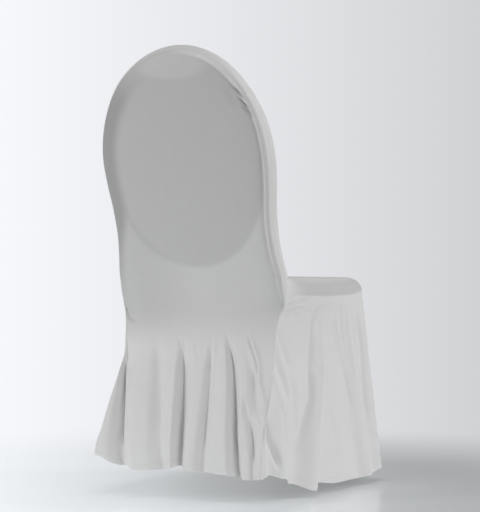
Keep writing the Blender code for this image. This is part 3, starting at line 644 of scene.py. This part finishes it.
RIM_SOFT = 0.15
RIM_TO_LEFT = Change(40.0, 100.0)
RIM_BELOW_TOP = Change(920.0, -120.0)
RIM_FROM_WAIST = Change(360.0, 220.0)
LIGHT_OVAL_CENTRE = (8.0, 893.0)
LIGHT_OVAL_HALF_WIDTH = 78.0
LIGHT_OVAL_HALF_HEIGHT = 25.0
LIGHT_OVAL_EDGE = Change(0.75, 0.5)
LIGHT_OVAL_PAINTED_LIGHT = 0.12
SEAM_SHOWS = 0.05
ALLOWANCE_FROM_SEAM = Change(8.0, -3.0)
ALLOWANCE_TO_RIGHT = Change(60.0, -120.0)
ALLOWANCE_FROM_WAIST = Change(395.0, 30.0)


def back_grey_and_painted_shade(grid):
    """Grey of the padded oval (an ellipse, flatter below its centre) with painted shade, painted shade
    in a darker rim and outline on the left, and the plain cloth below, which fades to nothing at
    the waist.  A second ellipse at the top is painted light, and the doubled cloth of the seam
    allowance hides the grey, with a painted highlight on the right."""
    x, height = grid[..., 0], grid[..., 2]
    reach = np.where(height > PAD_CENTRE[1], PAD_ABOVE, PAD_BELOW)
    radius = np.hypot((x - PAD_CENTRE[0]) / PAD_HALF_WIDTH, (height - PAD_CENTRE[1]) / reach)
    upper = changed(height, PAD_TO_UPPER)
    soft = PAD_EDGE * (1 + PAD_EDGE_GROWTH * upper)
    outside = ease((radius - 1 + soft) / (2 * soft))
    # Below the oval the cloth is greyer on the left: painted shade along that edge
    left_more = (BELOW_PAD_LEFT_GREY_AND_SHADE - BELOW_PAD_SHOWS) * changed(x, BELOW_PAD_TO_LEFT)
    below = (BELOW_PAD_SHOWS + left_more) * changed(height, BELOW_PAD_FROM_WAIST)
    # The oval's grey: the padding under the knit, and painted shade
    grey_and_shade = PAD_GREY_AND_SHADE * (1 - outside) + outside * (PAD_GREY_AND_SHADE * upper + below * (1 - upper))
    # A dark line along the lower edge of the padded oval, on the left: painted shade
    outline = PAD_OUTLINE_SHADE * np.exp(-((radius - 1) / PAD_OUTLINE_WIDTH) ** 2)
    grey_and_shade = grey_and_shade + outline * changed(x, PAD_OUTLINE_TO_LEFT) * (1 - upper)

    # A darker rim on the left of the hood's face: painted shade, with the grey of what lies under it
    share = RIM_SHARE_BELOW + (RIM_SHARE - RIM_SHARE_BELOW) * changed(height, RIM_WIDENS)
    rim = ease((rim_nearness(x, height) - 1 + share) / RIM_SOFT) * changed(x, RIM_TO_LEFT)
    rim = rim * changed(height, RIM_BELOW_TOP) * changed(height, RIM_FROM_WAIST)
    grey_and_shade = grey_and_shade * (1 - rim) + RIM_GREY_AND_SHADE * rim

    # A lighter ellipse at the top: painted light, where light comes through the cloth
    oval = np.hypot((x - LIGHT_OVAL_CENTRE[0]) / LIGHT_OVAL_HALF_WIDTH,
                    (height - LIGHT_OVAL_CENTRE[1]) / LIGHT_OVAL_HALF_HEIGHT)
    grey_and_shade = grey_and_shade - LIGHT_OVAL_PAINTED_LIGHT * (1 - changed(oval, LIGHT_OVAL_EDGE))
    # The doubled cloth of the seam allowance hides the grey on the right above the waist; kept to the
    # lit right side, it is partly a painted highlight
    allowance = changed(seam_gap(x, height), ALLOWANCE_FROM_SEAM) * changed(x, ALLOWANCE_TO_RIGHT)
    allowance = allowance * changed(height, ALLOWANCE_FROM_WAIST)
    return grey_and_shade * (1 - allowance) + SEAM_SHOWS * allowance


knit = stretch_knit()
back_grid = back_panel_grid()
back_panel = cloth_piece("back_panel_cloth", back_grid, -1,
                         ["last_row", "first_column", "last_column"], "first_row",
                         back_grey_and_painted_shade(back_grid), knit)
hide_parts("back_panel")
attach(back_panel, "root")


# The side band: the narrow strip round the edge of the hood, sewn to the back panel and to the
# inside back.  It is slack enough to bulge, a seam allowance under it stands out as a low ridge, and
# its two ends run out to points at the waist.  A grey is mixed into it, more towards the left: the
# grey of what lies under it and painted shade.

BAND_FULL_DEPTH = 30.0
BAND_COLUMNS = 25
ALLOWANCE_RISE = 1.3
ALLOWANCE_PLACE = 0.42
ALLOWANCE_WIDTH = 0.07
ALLOWANCE_LESS_AT_TOP = 0.7
BAND_SHOWS = 0.06
BAND_LEFT_SHADE = 0.20
BAND_TO_LEFT = Change(-110.0, 120.0)


def seam_line(back):
    """The right-hand edge of the back panel from the waist up, then over the top to the left
    waist: the side band's rear edge."""
    first = len(drop_shares(BACK_SKIRT_ROWS)) - 1
    return np.concatenate([back[first:-1, -1], back[-1, ::-1], back[first:-1, 0][::-1]])


def side_band_grid(back):
    """Rows along the band from the right tip over the top to the left tip, columns from the rear
    seam to the front seam: a straight line between the seams, plus half an ellipse of bulge, plus
    the low ridge of the seam allowance under the cloth."""
    rear = seam_line(back)
    tangent = np.gradient(rear, axis=0)
    outward = np.stack([-tangent[:, 2], np.zeros(len(rear)), tangent[:, 0]], 1)
    outward /= np.linalg.norm(outward, axis=1)[:, None]
    front = rear.copy()
    front[0, 2] += TIP_RISE
    front[-1, 2] += TIP_RISE
    depth = section(front[:, 2], "depth")
    front[:, 1] = section(front[:, 2], "rear") - depth
    rise = np.clip((rear[:, 2] - ARCH_CENTRE) / ARCH_HEIGHT, 0.0, 1.0)
    bulge = BAND_BULGE_SIDE + (BAND_BULGE_TOP - BAND_BULGE_SIDE) * rise ** 2
    bulge = bulge * ease(depth / BAND_FULL_DEPTH)
    t = ((1 - np.cos(np.linspace(0.0, np.pi, BAND_COLUMNS))) / 2)[None, :, None]
    swell = np.sqrt(1 - (2 * t - 1) ** 2)
    allowance = ALLOWANCE_RISE * np.exp(-((t - ALLOWANCE_PLACE) / ALLOWANCE_WIDTH) ** 2)
    kept = (1 - ALLOWANCE_LESS_AT_TOP * rise ** 2) * ease(depth / BAND_FULL_DEPTH)
    allowance = allowance * kept[:, None, None]
    grid = rear[:, None] * (1 - t) + front[:, None] * t
    return grid + outward[:, None] * (bulge[:, None, None] * swell + allowance)


band_grid = side_band_grid(back_grid)
# The band's grey: what lies under it, and painted shade that grows towards the left
band_grey_and_shade = BAND_SHOWS + BAND_LEFT_SHADE * changed(band_grid[..., 0], BAND_TO_LEFT)
ALL_EDGES = ["first_row", "last_row", "first_column", "last_column"]
side_band = cloth_piece("side_band_cloth", band_grid, -1, ALL_EDGES, None, band_grey_and_shade, knit)
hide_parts("side_band")
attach(side_band, "root")


# The seat panel: cut to the seat with its sides and front turned down to the seat seam, and drawn
# tight over padding, whose grey is mixed into the knit with painted shade, most on the turned-down
# roll and least on the top.  Its rear edge meets the inside back.

SEAT_HALF_WIDTH = 205.0
SEAT_HALF_WIDTH_REAR = 190.0
SEAT_WIDENING_SHARE = 0.6
SEAT_FRONT = -495.0
SEAT_ROLL = 36.0
SEAT_ROLL_GROWTH = 70.0
SEAT_CROWN = 3.0
SEAT_CROWN_FADE = 0.5
SEAT_DIP_FRONT = 5.0
SEAT_DIP_SHARE = 0.9
SEAT_COLUMNS = 60
SEAT_SIDE_ROWS = 133
SEAT_SHOWS = 0.40
SEAT_SEAM_HIDES = Change(0.0, 5.0)
SEAT_TO_TOP = Change(26.0, 22.0)
SEAT_TOP_LESS = 0.7
SEAT_FROM_REAR = Change(-110.0, -110.0)

# The seat seam's height along the side, from the waist tip (0) to the front corner (1)
SeamPoint = namedtuple("SeamPoint", "along height")
SEAT_SEAM = [
    SeamPoint(0.00, 402.0),
    SeamPoint(0.06, 411.0),
    SeamPoint(0.15, 418.0),
    SeamPoint(0.30, 415.0),
    SeamPoint(0.60, 412.0),
    SeamPoint(0.85, 412.0),
    SeamPoint(1.00, 418.0),
]
RIGHT_FOLDS = [
    Fold("seam tip", 0.015, 0.006, 0.006, 0.0, 390.0, 1.0, 51.0),
    Fold("seam crest", 0.040, 0.014, 0.038, 3.0, 230.0, 1.0, 55.0),
    Fold("seam valley", 0.080, 0.036, 0.100, -10.0, 225.0, 1.4, 56.0),
    Fold("corner crest", 0.160, 0.150, 0.160, 4.0, 300.0, 1.2, 46.0),
    Fold("domed valley", 0.320, 0.330, 0.215, -6.0, 398.0, 1.6, 32.0),
    Fold("lobe crest", 0.480, 0.430, 0.345, 19.0, 396.0, 1.2, 13.0),
    Fold("lobe valley", 0.560, 0.500, 0.415, 1.0, 390.0, 1.2, 25.0),
    Fold("middle crest", 0.630, 0.610, 0.560, 4.0, 396.0, 1.2, 18.0),
    Fold("front valley", 0.700, 0.740, 0.790, -5.0, 398.0, 2.0, 17.0),
    Fold("front crest", 0.790, 0.830, 0.875, 5.0, 398.0, 1.5, 19.0),
    Fold("corner valley", 0.890, 0.915, 0.945, -6.0, 398.0, 1.5, 22.0),
    Fold("front corner", 1.000, 1.000, 1.000, 0.0, 398.0, 1.0, 28.0),
]


def seat_rear_line(band):
    """The seat panel's rear edge: up the band's front edge, across under the inside back and
    down again on the left."""
    right = band[:BACK_TIP_LEVELS, -1]
    left = band[-BACK_TIP_LEVELS:, -1]
    x = np.linspace(right[-1, 0], left[0, 0], SEAT_COLUMNS + 1)[1:-1]
    height = SEAT_TOP + SEAT_CROWN * (1 - (x / SEAT_HALF_WIDTH) ** 2)
    across = np.stack([x, front_face(x, height), height], 1)
    return np.concatenate([right, across, left])


def seat_panel_grid(rear_line):
    """Rows from the rear line to the front seam, columns from right to left.  The edges roll
    over as quarter ellipses, and the two front corners as part of a ball."""
    column = np.linspace(0.0, len(RIGHT_FOLDS) - 1, SEAT_SIDE_ROWS)
    place = np.interp(column, np.arange(len(RIGHT_FOLDS)), [fold.top for fold in RIGHT_FOLDS])
    place = (place - place[0]) / (place[-1] - place[0])
    roll = np.cos(np.linspace(0.0, np.pi / 2, BACK_TIP_LEVELS))
    middle = np.linspace(-1.0, 1.0, SEAT_COLUMNS + 1)[1:-1]
    side = np.concatenate([-roll, np.zeros(len(middle)), roll[::-1]])
    core = np.concatenate([-np.ones(len(roll)), middle, np.ones(len(roll))])
    front = np.concatenate([np.zeros(len(place)), roll[::-1][1:]])
    share = np.concatenate([place, np.ones(len(roll) - 1)])
    start_y = rear_line[:, 1]
    y_core = start_y[None] + (SEAT_FRONT + SEAT_ROLL - start_y[None]) * share[:, None]
    along = share[:, None] * np.ones_like(y_core)
    reach = np.abs(y_core - start_y[None])
    radius = SEAT_ROLL * ease(reach / SEAT_ROLL_GROWTH)
    widening = ease(along / SEAT_WIDENING_SHARE)
    half = SEAT_HALF_WIDTH_REAR + (SEAT_HALF_WIDTH - SEAT_HALF_WIDTH_REAR) * widening
    a, b = side[None], front[:, None]
    x = core[None] * (half - radius) + radius * a * np.sqrt(1 - b ** 2 / 2)
    y = y_core - SEAT_ROLL * b * np.sqrt(1 - a ** 2 / 2)
    up = np.sqrt(np.clip(1 - a ** 2 - b ** 2 + a ** 2 * b ** 2, 0.0, 1.0))
    seam = steady_curve(along, [p.along for p in SEAT_SEAM], [p.height for p in SEAT_SEAM])
    top = SEAT_TOP - SEAT_DIP_FRONT * ease(along / SEAT_DIP_SHARE)
    crown = SEAT_CROWN * (1 - (x / SEAT_HALF_WIDTH) ** 2) * ease((1.0 - along) / SEAT_CROWN_FADE)
    grid = np.stack([x, y, seam + (top + crown - seam) * up], 2)
    grid[0] = rear_line
    return grid


seat_rear = seat_rear_line(band_grid)
seat_grid = seat_panel_grid(seat_rear)
seat_gap = near_seam(seat_grid, ["last_row", "first_column", "last_column"])[0]
# Grey of the padding and painted shade: none at the seams, full on the turned-down roll, less on the
# top, fading out towards the rear
seat_grey_and_shade = SEAT_SHOWS * changed(seat_gap, SEAT_SEAM_HIDES)
seat_grey_and_shade = seat_grey_and_shade * (1 - SEAT_TOP_LESS * changed(seat_gap, SEAT_TO_TOP))
seat_grey_and_shade = seat_grey_and_shade * changed(seat_grid[..., 1], SEAT_FROM_REAR)
seat_panel = cloth_piece("seat_panel_cloth", seat_grid, 1, ALL_EDGES, None, seat_grey_and_shade, knit)
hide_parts("seat_panel")
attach(seat_panel, "root")


# The inside back: the hood's front face, from the seat up to the round top, in the same knit and a
# little padded out.  The photo does not show it, so it is finished plainly.

INSIDE_SHOWS = 0.18


def inside_back_grid(band, rear_line):
    """Rows from the seat to the top, columns from right to left, inside the band's front edge."""
    climb = BACK_TIP_LEVELS - 1
    edge = band[climb:len(band) - climb, -1]
    bottom = rear_line[climb:len(rear_line) - climb]
    rows = (len(edge) - SEAT_COLUMNS - 1) // 2
    right = edge[:rows + 1]
    left = edge[len(edge) - rows - 1:][::-1]
    top = edge[rows:len(edge) - rows]
    plan = [0, 2]
    flat = patch(bottom[:, plan], top[:, plan], right[:, plan], left[:, plan])
    x, height = flat[..., 0], flat[..., 1]
    grid = np.stack([x, front_face(x, height), height], 2)
    grid[0], grid[-1], grid[:, 0], grid[:, -1] = bottom, top, right, left
    return grid


inside_grid = inside_back_grid(band_grid, seat_rear)
inside_shows = np.full(inside_grid.shape[:2], INSIDE_SHOWS)
inside_back = cloth_piece("inside_back_cloth", inside_grid, -1, ALL_EDGES, None, inside_shows, knit)
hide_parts("inside_back_panel")
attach(inside_back, "root")


# The skirt: one long strip, gathered a little along the seat seam and flared to the hem, from the
# right rear corner seam round the sides and front to the left one.  It hangs free in its folds.

SIDE_FOLD_LEVELS = (395.0, 215.0, 20.0)
SIDE_FOLD_FLOOR = 20.0
FLARE_TOP = 415.0
HEM_HALF_WIDTH = 236.0
HEM_FRONT = -525.0
CORNER_RADIUS_HEM = 24.0
SIDE_BULGE = 9.0
FRONT_BULGE = 10.0
SEAM_BLEND_POWER = 4
SKIRT_ROWS = 84
LEFT_FOLDS = [
    Fold("seam tip", 0.015, 0.006, 0.006, 0.0, 390.0, 1.0, 84.0),
    Fold("seam crest", 0.040, 0.020, 0.035, 3.0, 230.0, 1.0, 82.0),
    Fold("seam valley", 0.080, 0.060, 0.090, -8.0, 240.0, 1.4, 76.0),
    Fold("corner crest", 0.150, 0.140, 0.150, 5.0, 300.0, 1.2, 68.0),
    Fold("rear valley", 0.270, 0.262, 0.235, -7.0, 396.0, 1.6, 60.0),
    Fold("rear crest", 0.370, 0.380, 0.365, 14.0, 396.0, 1.2, 50.0),
    Fold("middle valley", 0.440, 0.470, 0.460, -3.0, 390.0, 1.4, 46.0),
    Fold("middle crest", 0.550, 0.570, 0.570, 8.0, 396.0, 1.2, 40.0),
    Fold("front valley", 0.650, 0.690, 0.700, -6.0, 398.0, 1.8, 36.0),
    Fold("front crest", 0.770, 0.790, 0.810, 8.0, 398.0, 1.4, 30.0),
    Fold("corner valley", 0.890, 0.905, 0.920, -6.0, 398.0, 1.5, 28.0),
    Fold("front corner", 1.000, 1.000, 1.000, 0.0, 398.0, 1.0, 27.0),
]
FRONT_FOLDS = [
    Fold("right corner", 0.000, 0.000, 0.000, 0.0, 398.0, 1.0, 28.0),
    Fold("right valley", 0.120, 0.110, 0.100, -7.0, 400.0, 1.5, 24.0),
    Fold("right crest", 0.260, 0.250, 0.235, 10.0, 400.0, 1.3, 18.0),
    Fold("middle right valley", 0.390, 0.380, 0.375, -6.0, 395.0, 1.6, 24.0),
    Fold("middle crest", 0.520, 0.530, 0.540, 9.0, 400.0, 1.2, 17.0),
    Fold("middle left valley", 0.640, 0.655, 0.660, -6.0, 395.0, 1.5, 23.0),
    Fold("left crest", 0.760, 0.770, 0.785, 9.0, 400.0, 1.3, 18.0),
    Fold("left valley", 0.890, 0.900, 0.905, -7.0, 400.0, 1.5, 24.0),
    Fold("left corner", 1.000, 1.000, 1.000, 0.0, 398.0, 1.0, 27.0),
]

# Creases on the right side: points are (y, height)
RIGHT_CREASES = [
    Crease("first fan crease", ((-112, 398), (-150, 401), (-206, 408)), -4.2, 4.5),
    Crease("second fan crease", ((-110, 386), (-146, 390), (-190, 394)), -3.8, 4.5),
    Crease("third fan crease", ((-108, 372), (-138, 377), (-176, 380)), -3.0, 4.5),
    Crease("fan ridge", ((-114, 392), (-150, 396), (-192, 401)), 2.0, 3.5),
    Crease("diagonal", ((-98, 352), (-122, 310), (-142, 262)), -3.2, 6.0),
    Crease("long diagonal", ((-92, 326), (-116, 268), (-132, 205)), 2.4, 7.0),
    Crease("second diagonal", ((-84, 296), (-104, 248), (-120, 196)), -3.0, 6.0),
    Crease("lower diagonal", ((-74, 262), (-90, 216), (-100, 170)), 2.2, 6.0),
    Crease("seam slit", ((-70, 258), (-56, 236), (-34, 190), (-12, 146), (0, 122)), -11.0, 4.4),
    Crease("seam valley", ((-30, 176), (-38, 121), (-60, 62)), -9.0, 6.5),
    Crease("small seam fold", ((-96, 190), (-92, 150), (-84, 110)), -3.4, 6.0),
    Crease("dome edge",
           ((-300, 390), (-272, 391), (-247, 382), (-236, 365), (-232, 315), (-226, 285), (-205, 203),
            (-155, 123), (-92, 66)), -6.8, 6.5),
    Crease("dome hollow", ((-262, 372), (-252, 330), (-244, 285), (-232, 240)), -5.0, 14.0),
    Crease("dome inner ridge", ((-256, 352), (-248, 310), (-240, 262)), 2.4, 6.0),
    Crease("lobe ridge",
           ((-318, 368), (-292, 325), (-262, 268), (-238, 215), (-206, 136), (-176, 30)), 3.6, 6.0),
    Crease("slanting pleat",
           ((-325, 376), (-343, 325), (-362, 262), (-376, 205), (-384, 160)), -3.4, 3.6),
    Crease("slanting pleat lip", ((-314, 376), (-331, 325), (-350, 262)), 2.0, 4.0),
    Crease("front trough", ((-352, 398), (-360, 345), (-366, 300)), -2.6, 6.0),
    Crease("front ridge", ((-385, 388), (-393, 330), (-400, 270), (-408, 215)), 3.0, 7.0),
    Crease("corner trough",
           ((-430, 390), (-442, 335), (-450, 291), (-452, 214), (-460, 115)), -4.4, 6.0),
    Crease("corner ridge", ((-412, 396), (-420, 340), (-428, 270), (-432, 190)), 2.6, 6.0),
    Crease("small middle fold", ((-286, 190), (-296, 130), (-304, 60)), 2.2, 7.0),
    Crease("rear hollow", ((-128, 250), (-140, 205), (-134, 150)), -3.0, 9.0),
    Crease("rear swell", ((-158, 262), (-162, 206), (-150, 140)), 2.6, 9.0),
]


def skirt_front(height):
    """The unfolded skirt's front corner at a height: its half width, its front line, its
    radius, and how far the cloth has dropped from the seat seam (0) to the hem (1)."""
    drop = np.clip((FLARE_TOP - height) / (FLARE_TOP - SIDE_FOLD_FLOOR), 0.0, 1.0)
    front_x = SEAT_HALF_WIDTH + (HEM_HALF_WIDTH - SEAT_HALF_WIDTH) * drop
    front_y = SEAT_FRONT + (HEM_FRONT - SEAT_FRONT) * drop
    radius = SEAT_ROLL + (CORNER_RADIUS_HEM - SEAT_ROLL) * drop
    return front_x, front_y, radius, drop


def skirt_grid_of(seat, band):
    """Rows from the seat seam to the hem, columns from the right corner seam round the front to
    the left corner seam.  Each row is the flared outline plus its folds and creases, and the top
    rows are drawn to the seam by a share that falls as a fourth power."""
    tip_right, tip_left = band[0, 0], band[-1, 0]
    roll = BACK_TIP_LEVELS
    side_rows = len(seat) - (roll - 1)
    seam = np.concatenate([tip_right[None], seat[:, 0], seat[-1, 1:-1], seat[::-1, -1],
                           tip_left[None]])
    side_column = np.linspace(0.0, len(RIGHT_FOLDS) - 1, side_rows)
    front_count = seat.shape[1] - 2 * (roll - 1)
    front_column = np.linspace(0.0, len(FRONT_FOLDS) - 1, front_count)
    share = 1 - drop_shares(SKIRT_ROWS)[::-1, None]
    # The front corner's columns stand at the angles of the seat's ball-shaped corner
    first_half = np.arcsin(np.cos(np.linspace(0.0, np.pi / 2, roll)[-2::-1]) / np.sqrt(2.0))
    corner = np.concatenate([first_half, np.pi / 2 - first_half[-2::-1]])

    def side(folds, sign, creases):
        hem = wave([fold.hem_height for fold in folds], side_column)
        top = seat[:side_rows, 0 if sign < 0 else -1, 2]
        height = top[None] * (1 - share) + hem[None] * share
        place = fold_places(folds, side_column[None], height, SIDE_FOLD_LEVELS)
        place[:, -1] = 1.0
        rear_x, rear_y = section(height, "half_width"), section(height, "rear")
        front_x, front_y, radius, drop = skirt_front(height)
        out = fold_depth(folds, side_column, height, SIDE_FOLD_FLOOR, 1.0, 1.0)
        bulge = SIDE_BULGE * drop * 4 * place * (1 - place)
        y = rear_y + (front_y + radius - rear_y) * place
        relief = hem_relief(height - hem[None]) + crease_relief(y, height, creases)
        x = sign * (rear_x + (front_x - rear_x) * place + bulge + out + relief)
        return np.stack([x, y, height], 2)

    def front_corner(sign, hem_height):
        height = (seat[-1, 0, 2] * (1 - share) + hem_height * share) * np.ones((1, len(corner)))
        front_x, front_y, radius, _ = skirt_front(height)
        wide = radius + hem_relief(height - hem_height)
        x = sign * (front_x - radius + wide * np.cos(corner)[None])
        y = front_y + radius - wide * np.sin(corner)[None]
        return np.stack([x, y, height], 2)

    def front():
        hem = wave([fold.hem_height for fold in FRONT_FOLDS], front_column)
        top = seat[-1, roll - 1:seat.shape[1] - roll + 1, 2]
        height = top[None] * (1 - share) + hem[None] * share
        place = fold_places(FRONT_FOLDS, front_column[None], height, SIDE_FOLD_LEVELS)
        front_x, front_y, radius, drop = skirt_front(height)
        out = fold_depth(FRONT_FOLDS, front_column, height, SIDE_FOLD_FLOOR, 1.0, 1.0)
        out = out + hem_relief(height - hem[None])
        x = (front_x - radius) * (2 * place - 1)
        y = front_y - out - FRONT_BULGE * drop * 4 * place * (1 - place)
        return np.stack([x, y, height], 2)

    def corner_seam(tip, sign, hem_height):
        height = tip[2] * (1 - share) + hem_height * share
        x = sign * section(height, "half_width")
        return np.stack([x, section(height, "rear") + hem_relief(height - hem_height), height], 2)

    grid = np.concatenate([
        corner_seam(tip_right, -1, BACK_FOLDS[-1].hem_height),
        side(RIGHT_FOLDS, -1, RIGHT_CREASES),
        front_corner(-1, RIGHT_FOLDS[-1].hem_height),
        front(),
        front_corner(1, LEFT_FOLDS[-1].hem_height)[:, ::-1],
        side(LEFT_FOLDS, 1, [])[:, ::-1],
        corner_seam(tip_left, 1, BACK_FOLDS[0].hem_height),
    ], 1)
    blend = (1 - share[..., None]) ** SEAM_BLEND_POWER
    return grid + (seam[None] - grid[:1]) * blend


skirt_grid = skirt_grid_of(seat_grid, band_grid)
skirt = cloth_piece("skirt_cloth", skirt_grid, 1, ["first_row", "first_column", "last_column"],
                    "last_row", np.zeros(skirt_grid.shape[:2]), knit)
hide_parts("skirt")
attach(skirt, "root")


# The studio: a pale satin floor that fades into a white room, lit by large soft lights.  The
# camera is turned this far about the upright axis.

CAMERA_TURN = 207.0
FLOOR_HEIGHT = -CREST[2] / MM_PER_M
FLOOR_RADIUS = 3.2
FLOOR_RINGS = 24
FLOOR_SPOKES = 96
FLOOR_FADE_START = 0.7
FLOOR_FADE_END = 1.7
FLOOR_COLOUR = "d8dbdd"
FLOOR_GLOW_LEFT = 0.88
FLOOR_GLOW_RIGHT = 0.05
FLOOR_GLOW_REACH = 0.7


def picture_right():
    """The level direction towards the picture's right: cosine and sine of the camera's turn."""
    turn = np.radians(CAMERA_TURN)
    return float(np.cos(turn)), float(np.sin(turn)), 0.0


def studio_floor():
    """A disc of rings and spokes at floor height: radius times the cosine and sine of the angle."""
    rings = np.linspace(0.0, FLOOR_RADIUS, FLOOR_RINGS + 1)[1:]
    angle = np.linspace(0.0, 2 * np.pi, FLOOR_SPOKES, endpoint=False)
    x = np.concatenate([[0.0], (rings[:, None] * np.cos(angle)).ravel()])
    y = np.concatenate([[0.0], (rings[:, None] * np.sin(angle)).ravel()])
    points = np.stack([x, y, np.full(x.shape, FLOOR_HEIGHT)], 1)
    count = len(angle)
    index = 1 + np.arange(len(rings) * count).reshape(len(rings), count)
    after = np.roll(index, -1, axis=1)
    quads = np.stack([index[:-1], index[1:], after[1:], after[:-1]], 2).reshape(-1, 4)
    fan = np.stack([np.zeros(count, int), index[0], after[0]], 1)
    mesh = bpy.data.meshes.new("studio_floor")
    mesh.from_pydata(points.tolist(), [], fan.tolist() + quads.tolist())
    mesh.shade_smooth()
    floor = bpy.data.objects.new("studio_floor", mesh)
    bpy.context.collection.objects.link(floor)
    return floor


def satin_floor_material():
    """Pale satin vinyl, which fades out with the distance from the object.  A weak glow, stronger
    on the left, stands in for the light that the white room sends back under the cover."""
    material = bpy.data.materials.new("pale_satin_vinyl")
    material.use_nodes = True
    tree = material.node_tree
    tree.nodes.clear()
    place = add_node(tree, "ShaderNodeTexCoord").outputs["Object"]
    flat = add_node(tree, "ShaderNodeVectorMath", {"operation": "MULTIPLY"},
                    {1: (1.0, 1.0, 0.0)}, {0: place})
    distance = add_node(tree, "ShaderNodeVectorMath", {"operation": "LENGTH"},
                        links={0: flat.outputs["Vector"]}).outputs["Value"]
    fade = add_node(tree, "ShaderNodeMapRange", {"interpolation_type": "SMOOTHSTEP"},
                    {"From Min": FLOOR_FADE_START, "From Max": FLOOR_FADE_END}, {"Value": distance})
    across = add_node(tree, "ShaderNodeVectorMath", {"operation": "DOT_PRODUCT"},
                      {1: picture_right()}, {0: place}).outputs["Value"]
    glow = add_node(tree, "ShaderNodeMapRange", {"interpolation_type": "SMOOTHSTEP"},
                    {"From Min": -FLOOR_GLOW_REACH, "From Max": FLOOR_GLOW_REACH,
                     "To Min": FLOOR_GLOW_LEFT, "To Max": FLOOR_GLOW_RIGHT}, {"Value": across})
    shader = add_node(tree, "ShaderNodeBsdfPrincipled",
                      inputs={"Base Color": hex_colour(FLOOR_COLOUR), "Roughness": 0.22,
                              "Specular IOR Level": 0.25, "IOR": 1.45,
                              "Emission Color": hex_colour(FLOOR_COLOUR)},
                      links={"Emission Strength": glow.outputs["Result"]})
    clear = add_node(tree, "ShaderNodeBsdfTransparent")
    mix = add_node(tree, "ShaderNodeMixShader",
                   links={0: fade.outputs["Result"], 1: shader.outputs["BSDF"],
                          2: clear.outputs["BSDF"]})
    add_node(tree, "ShaderNodeOutputMaterial", links={"Surface": mix.outputs["Shader"]})
    return material


floor = studio_floor()
floor.data.materials.append(satin_floor_material())

# The room is a white world, a little darker towards the camera's right
ROOM_LEFT = "fafbff"
ROOM_RIGHT = "d2d3d5"
ROOM_SEEN = 0.98
ROOM_LIGHT = 0.31
ROOM_REACH = 0.10


def white_room():
    """World colour by direction: from the left tone to the right one across the camera's view."""
    world = bpy.data.worlds.new("white_room")
    bpy.context.scene.world = world
    world.use_nodes = True
    tree = world.node_tree
    tree.nodes.clear()
    way = add_node(tree, "ShaderNodeTexCoord").outputs["Generated"]
    across = add_node(tree, "ShaderNodeVectorMath", {"operation": "DOT_PRODUCT"},
                      {1: picture_right()}, {0: way}).outputs["Value"]
    share = add_node(tree, "ShaderNodeMapRange",
                     inputs={"From Min": -ROOM_REACH, "From Max": ROOM_REACH},
                     links={"Value": across}).outputs["Result"]
    colour = add_node(tree, "ShaderNodeMix", {"data_type": "RGBA"},
                      {6: hex_colour(ROOM_LEFT), 7: hex_colour(ROOM_RIGHT)}, {0: share}).outputs[2]
    seen = add_node(tree, "ShaderNodeBackground", inputs={"Strength": ROOM_SEEN},
                    links={"Color": colour})
    light = add_node(tree, "ShaderNodeBackground",
                     inputs={"Color": hex_colour(ROOM_RIGHT), "Strength": ROOM_LIGHT})
    direct = add_node(tree, "ShaderNodeLightPath").outputs["Is Camera Ray"]
    mix = add_node(tree, "ShaderNodeMixShader",
                   links={0: direct, 1: light.outputs["Background"], 2: seen.outputs["Background"]})
    add_node(tree, "ShaderNodeOutputWorld", links={"Surface": mix.outputs["Shader"]})


white_room()

# The camera's place in metres and its tilt down, fitted to the photo
CAMERA_PLACE = (-2.4593, 4.5542, -0.3194)
CAMERA_PITCH = 1.283
SENSOR_WIDTH = 36.0
FOCAL_PIXELS = 2500.0
FRAME_HEIGHT_PIXELS = 512.0


def look_axes(turn, pitch):
    """Right, up and forward of a camera from its turn about Z and its tilt down, in degrees."""
    a, p = np.radians(turn), np.radians(pitch)
    forward = np.array([-np.sin(a) * np.cos(p), np.cos(a) * np.cos(p), -np.sin(p)])
    right = np.array([np.cos(a), np.sin(a), 0.0])
    return right, np.cross(right, forward), forward


right, up, forward = look_axes(CAMERA_TURN, CAMERA_PITCH)
camera_data = bpy.data.cameras.new("photo_camera")
camera_data.sensor_fit = "AUTO"
camera_data.sensor_width = SENSOR_WIDTH
camera_data.lens = FOCAL_PIXELS / FRAME_HEIGHT_PIXELS * SENSOR_WIDTH
camera = bpy.data.objects.new("photo_camera", camera_data)
bpy.context.collection.objects.link(camera)
turned = Matrix((Vector(right), Vector(up), Vector(-forward))).transposed().to_4x4()
turned.translation = Vector(CAMERA_PLACE)
camera.matrix_world = turned
bpy.context.scene.camera = camera

# Soft boxes: distance to the camera's right, towards the camera and up from the object's middle,
# then size in metres and power in watts
SoftBox = namedtuple("SoftBox", "name right near up size power")
SOFT_BOXES = [
    SoftBox("key_left", -2.7, 1.0, 0.7, 0.9, 28.0),
    SoftBox("front_right", 2.67, -0.38, 0.6, 1.0, 25.8),
    SoftBox("fill_rear", 1.6, 2.4, 0.5, 1.0, 12.0),
    SoftBox("overhead", 0.4, 0.6, 2.5, 2.2, 22.5),
]
COVER_MIDDLE = np.array([0.0, -0.2, -0.45])
level_forward = np.array([forward[0], forward[1], 0.0]) / np.hypot(forward[0], forward[1])
for box in SOFT_BOXES:
    lamp = bpy.data.lights.new(box.name, "AREA")
    lamp.size = box.size
    lamp.energy = box.power
    soft_box = bpy.data.objects.new(box.name, lamp)
    bpy.context.collection.objects.link(soft_box)
    offset = right * box.right - level_forward * box.near + np.array([0.0, 0.0, box.up])
    soft_box.location = (COVER_MIDDLE + offset).tolist()
    soft_box.rotation_euler = Vector((-offset).tolist()).to_track_quat("-Z", "Y").to_euler()

# The plain display curve, under which the hex colours are shown as they are written
bpy.context.scene.view_settings.view_transform = "Standard"
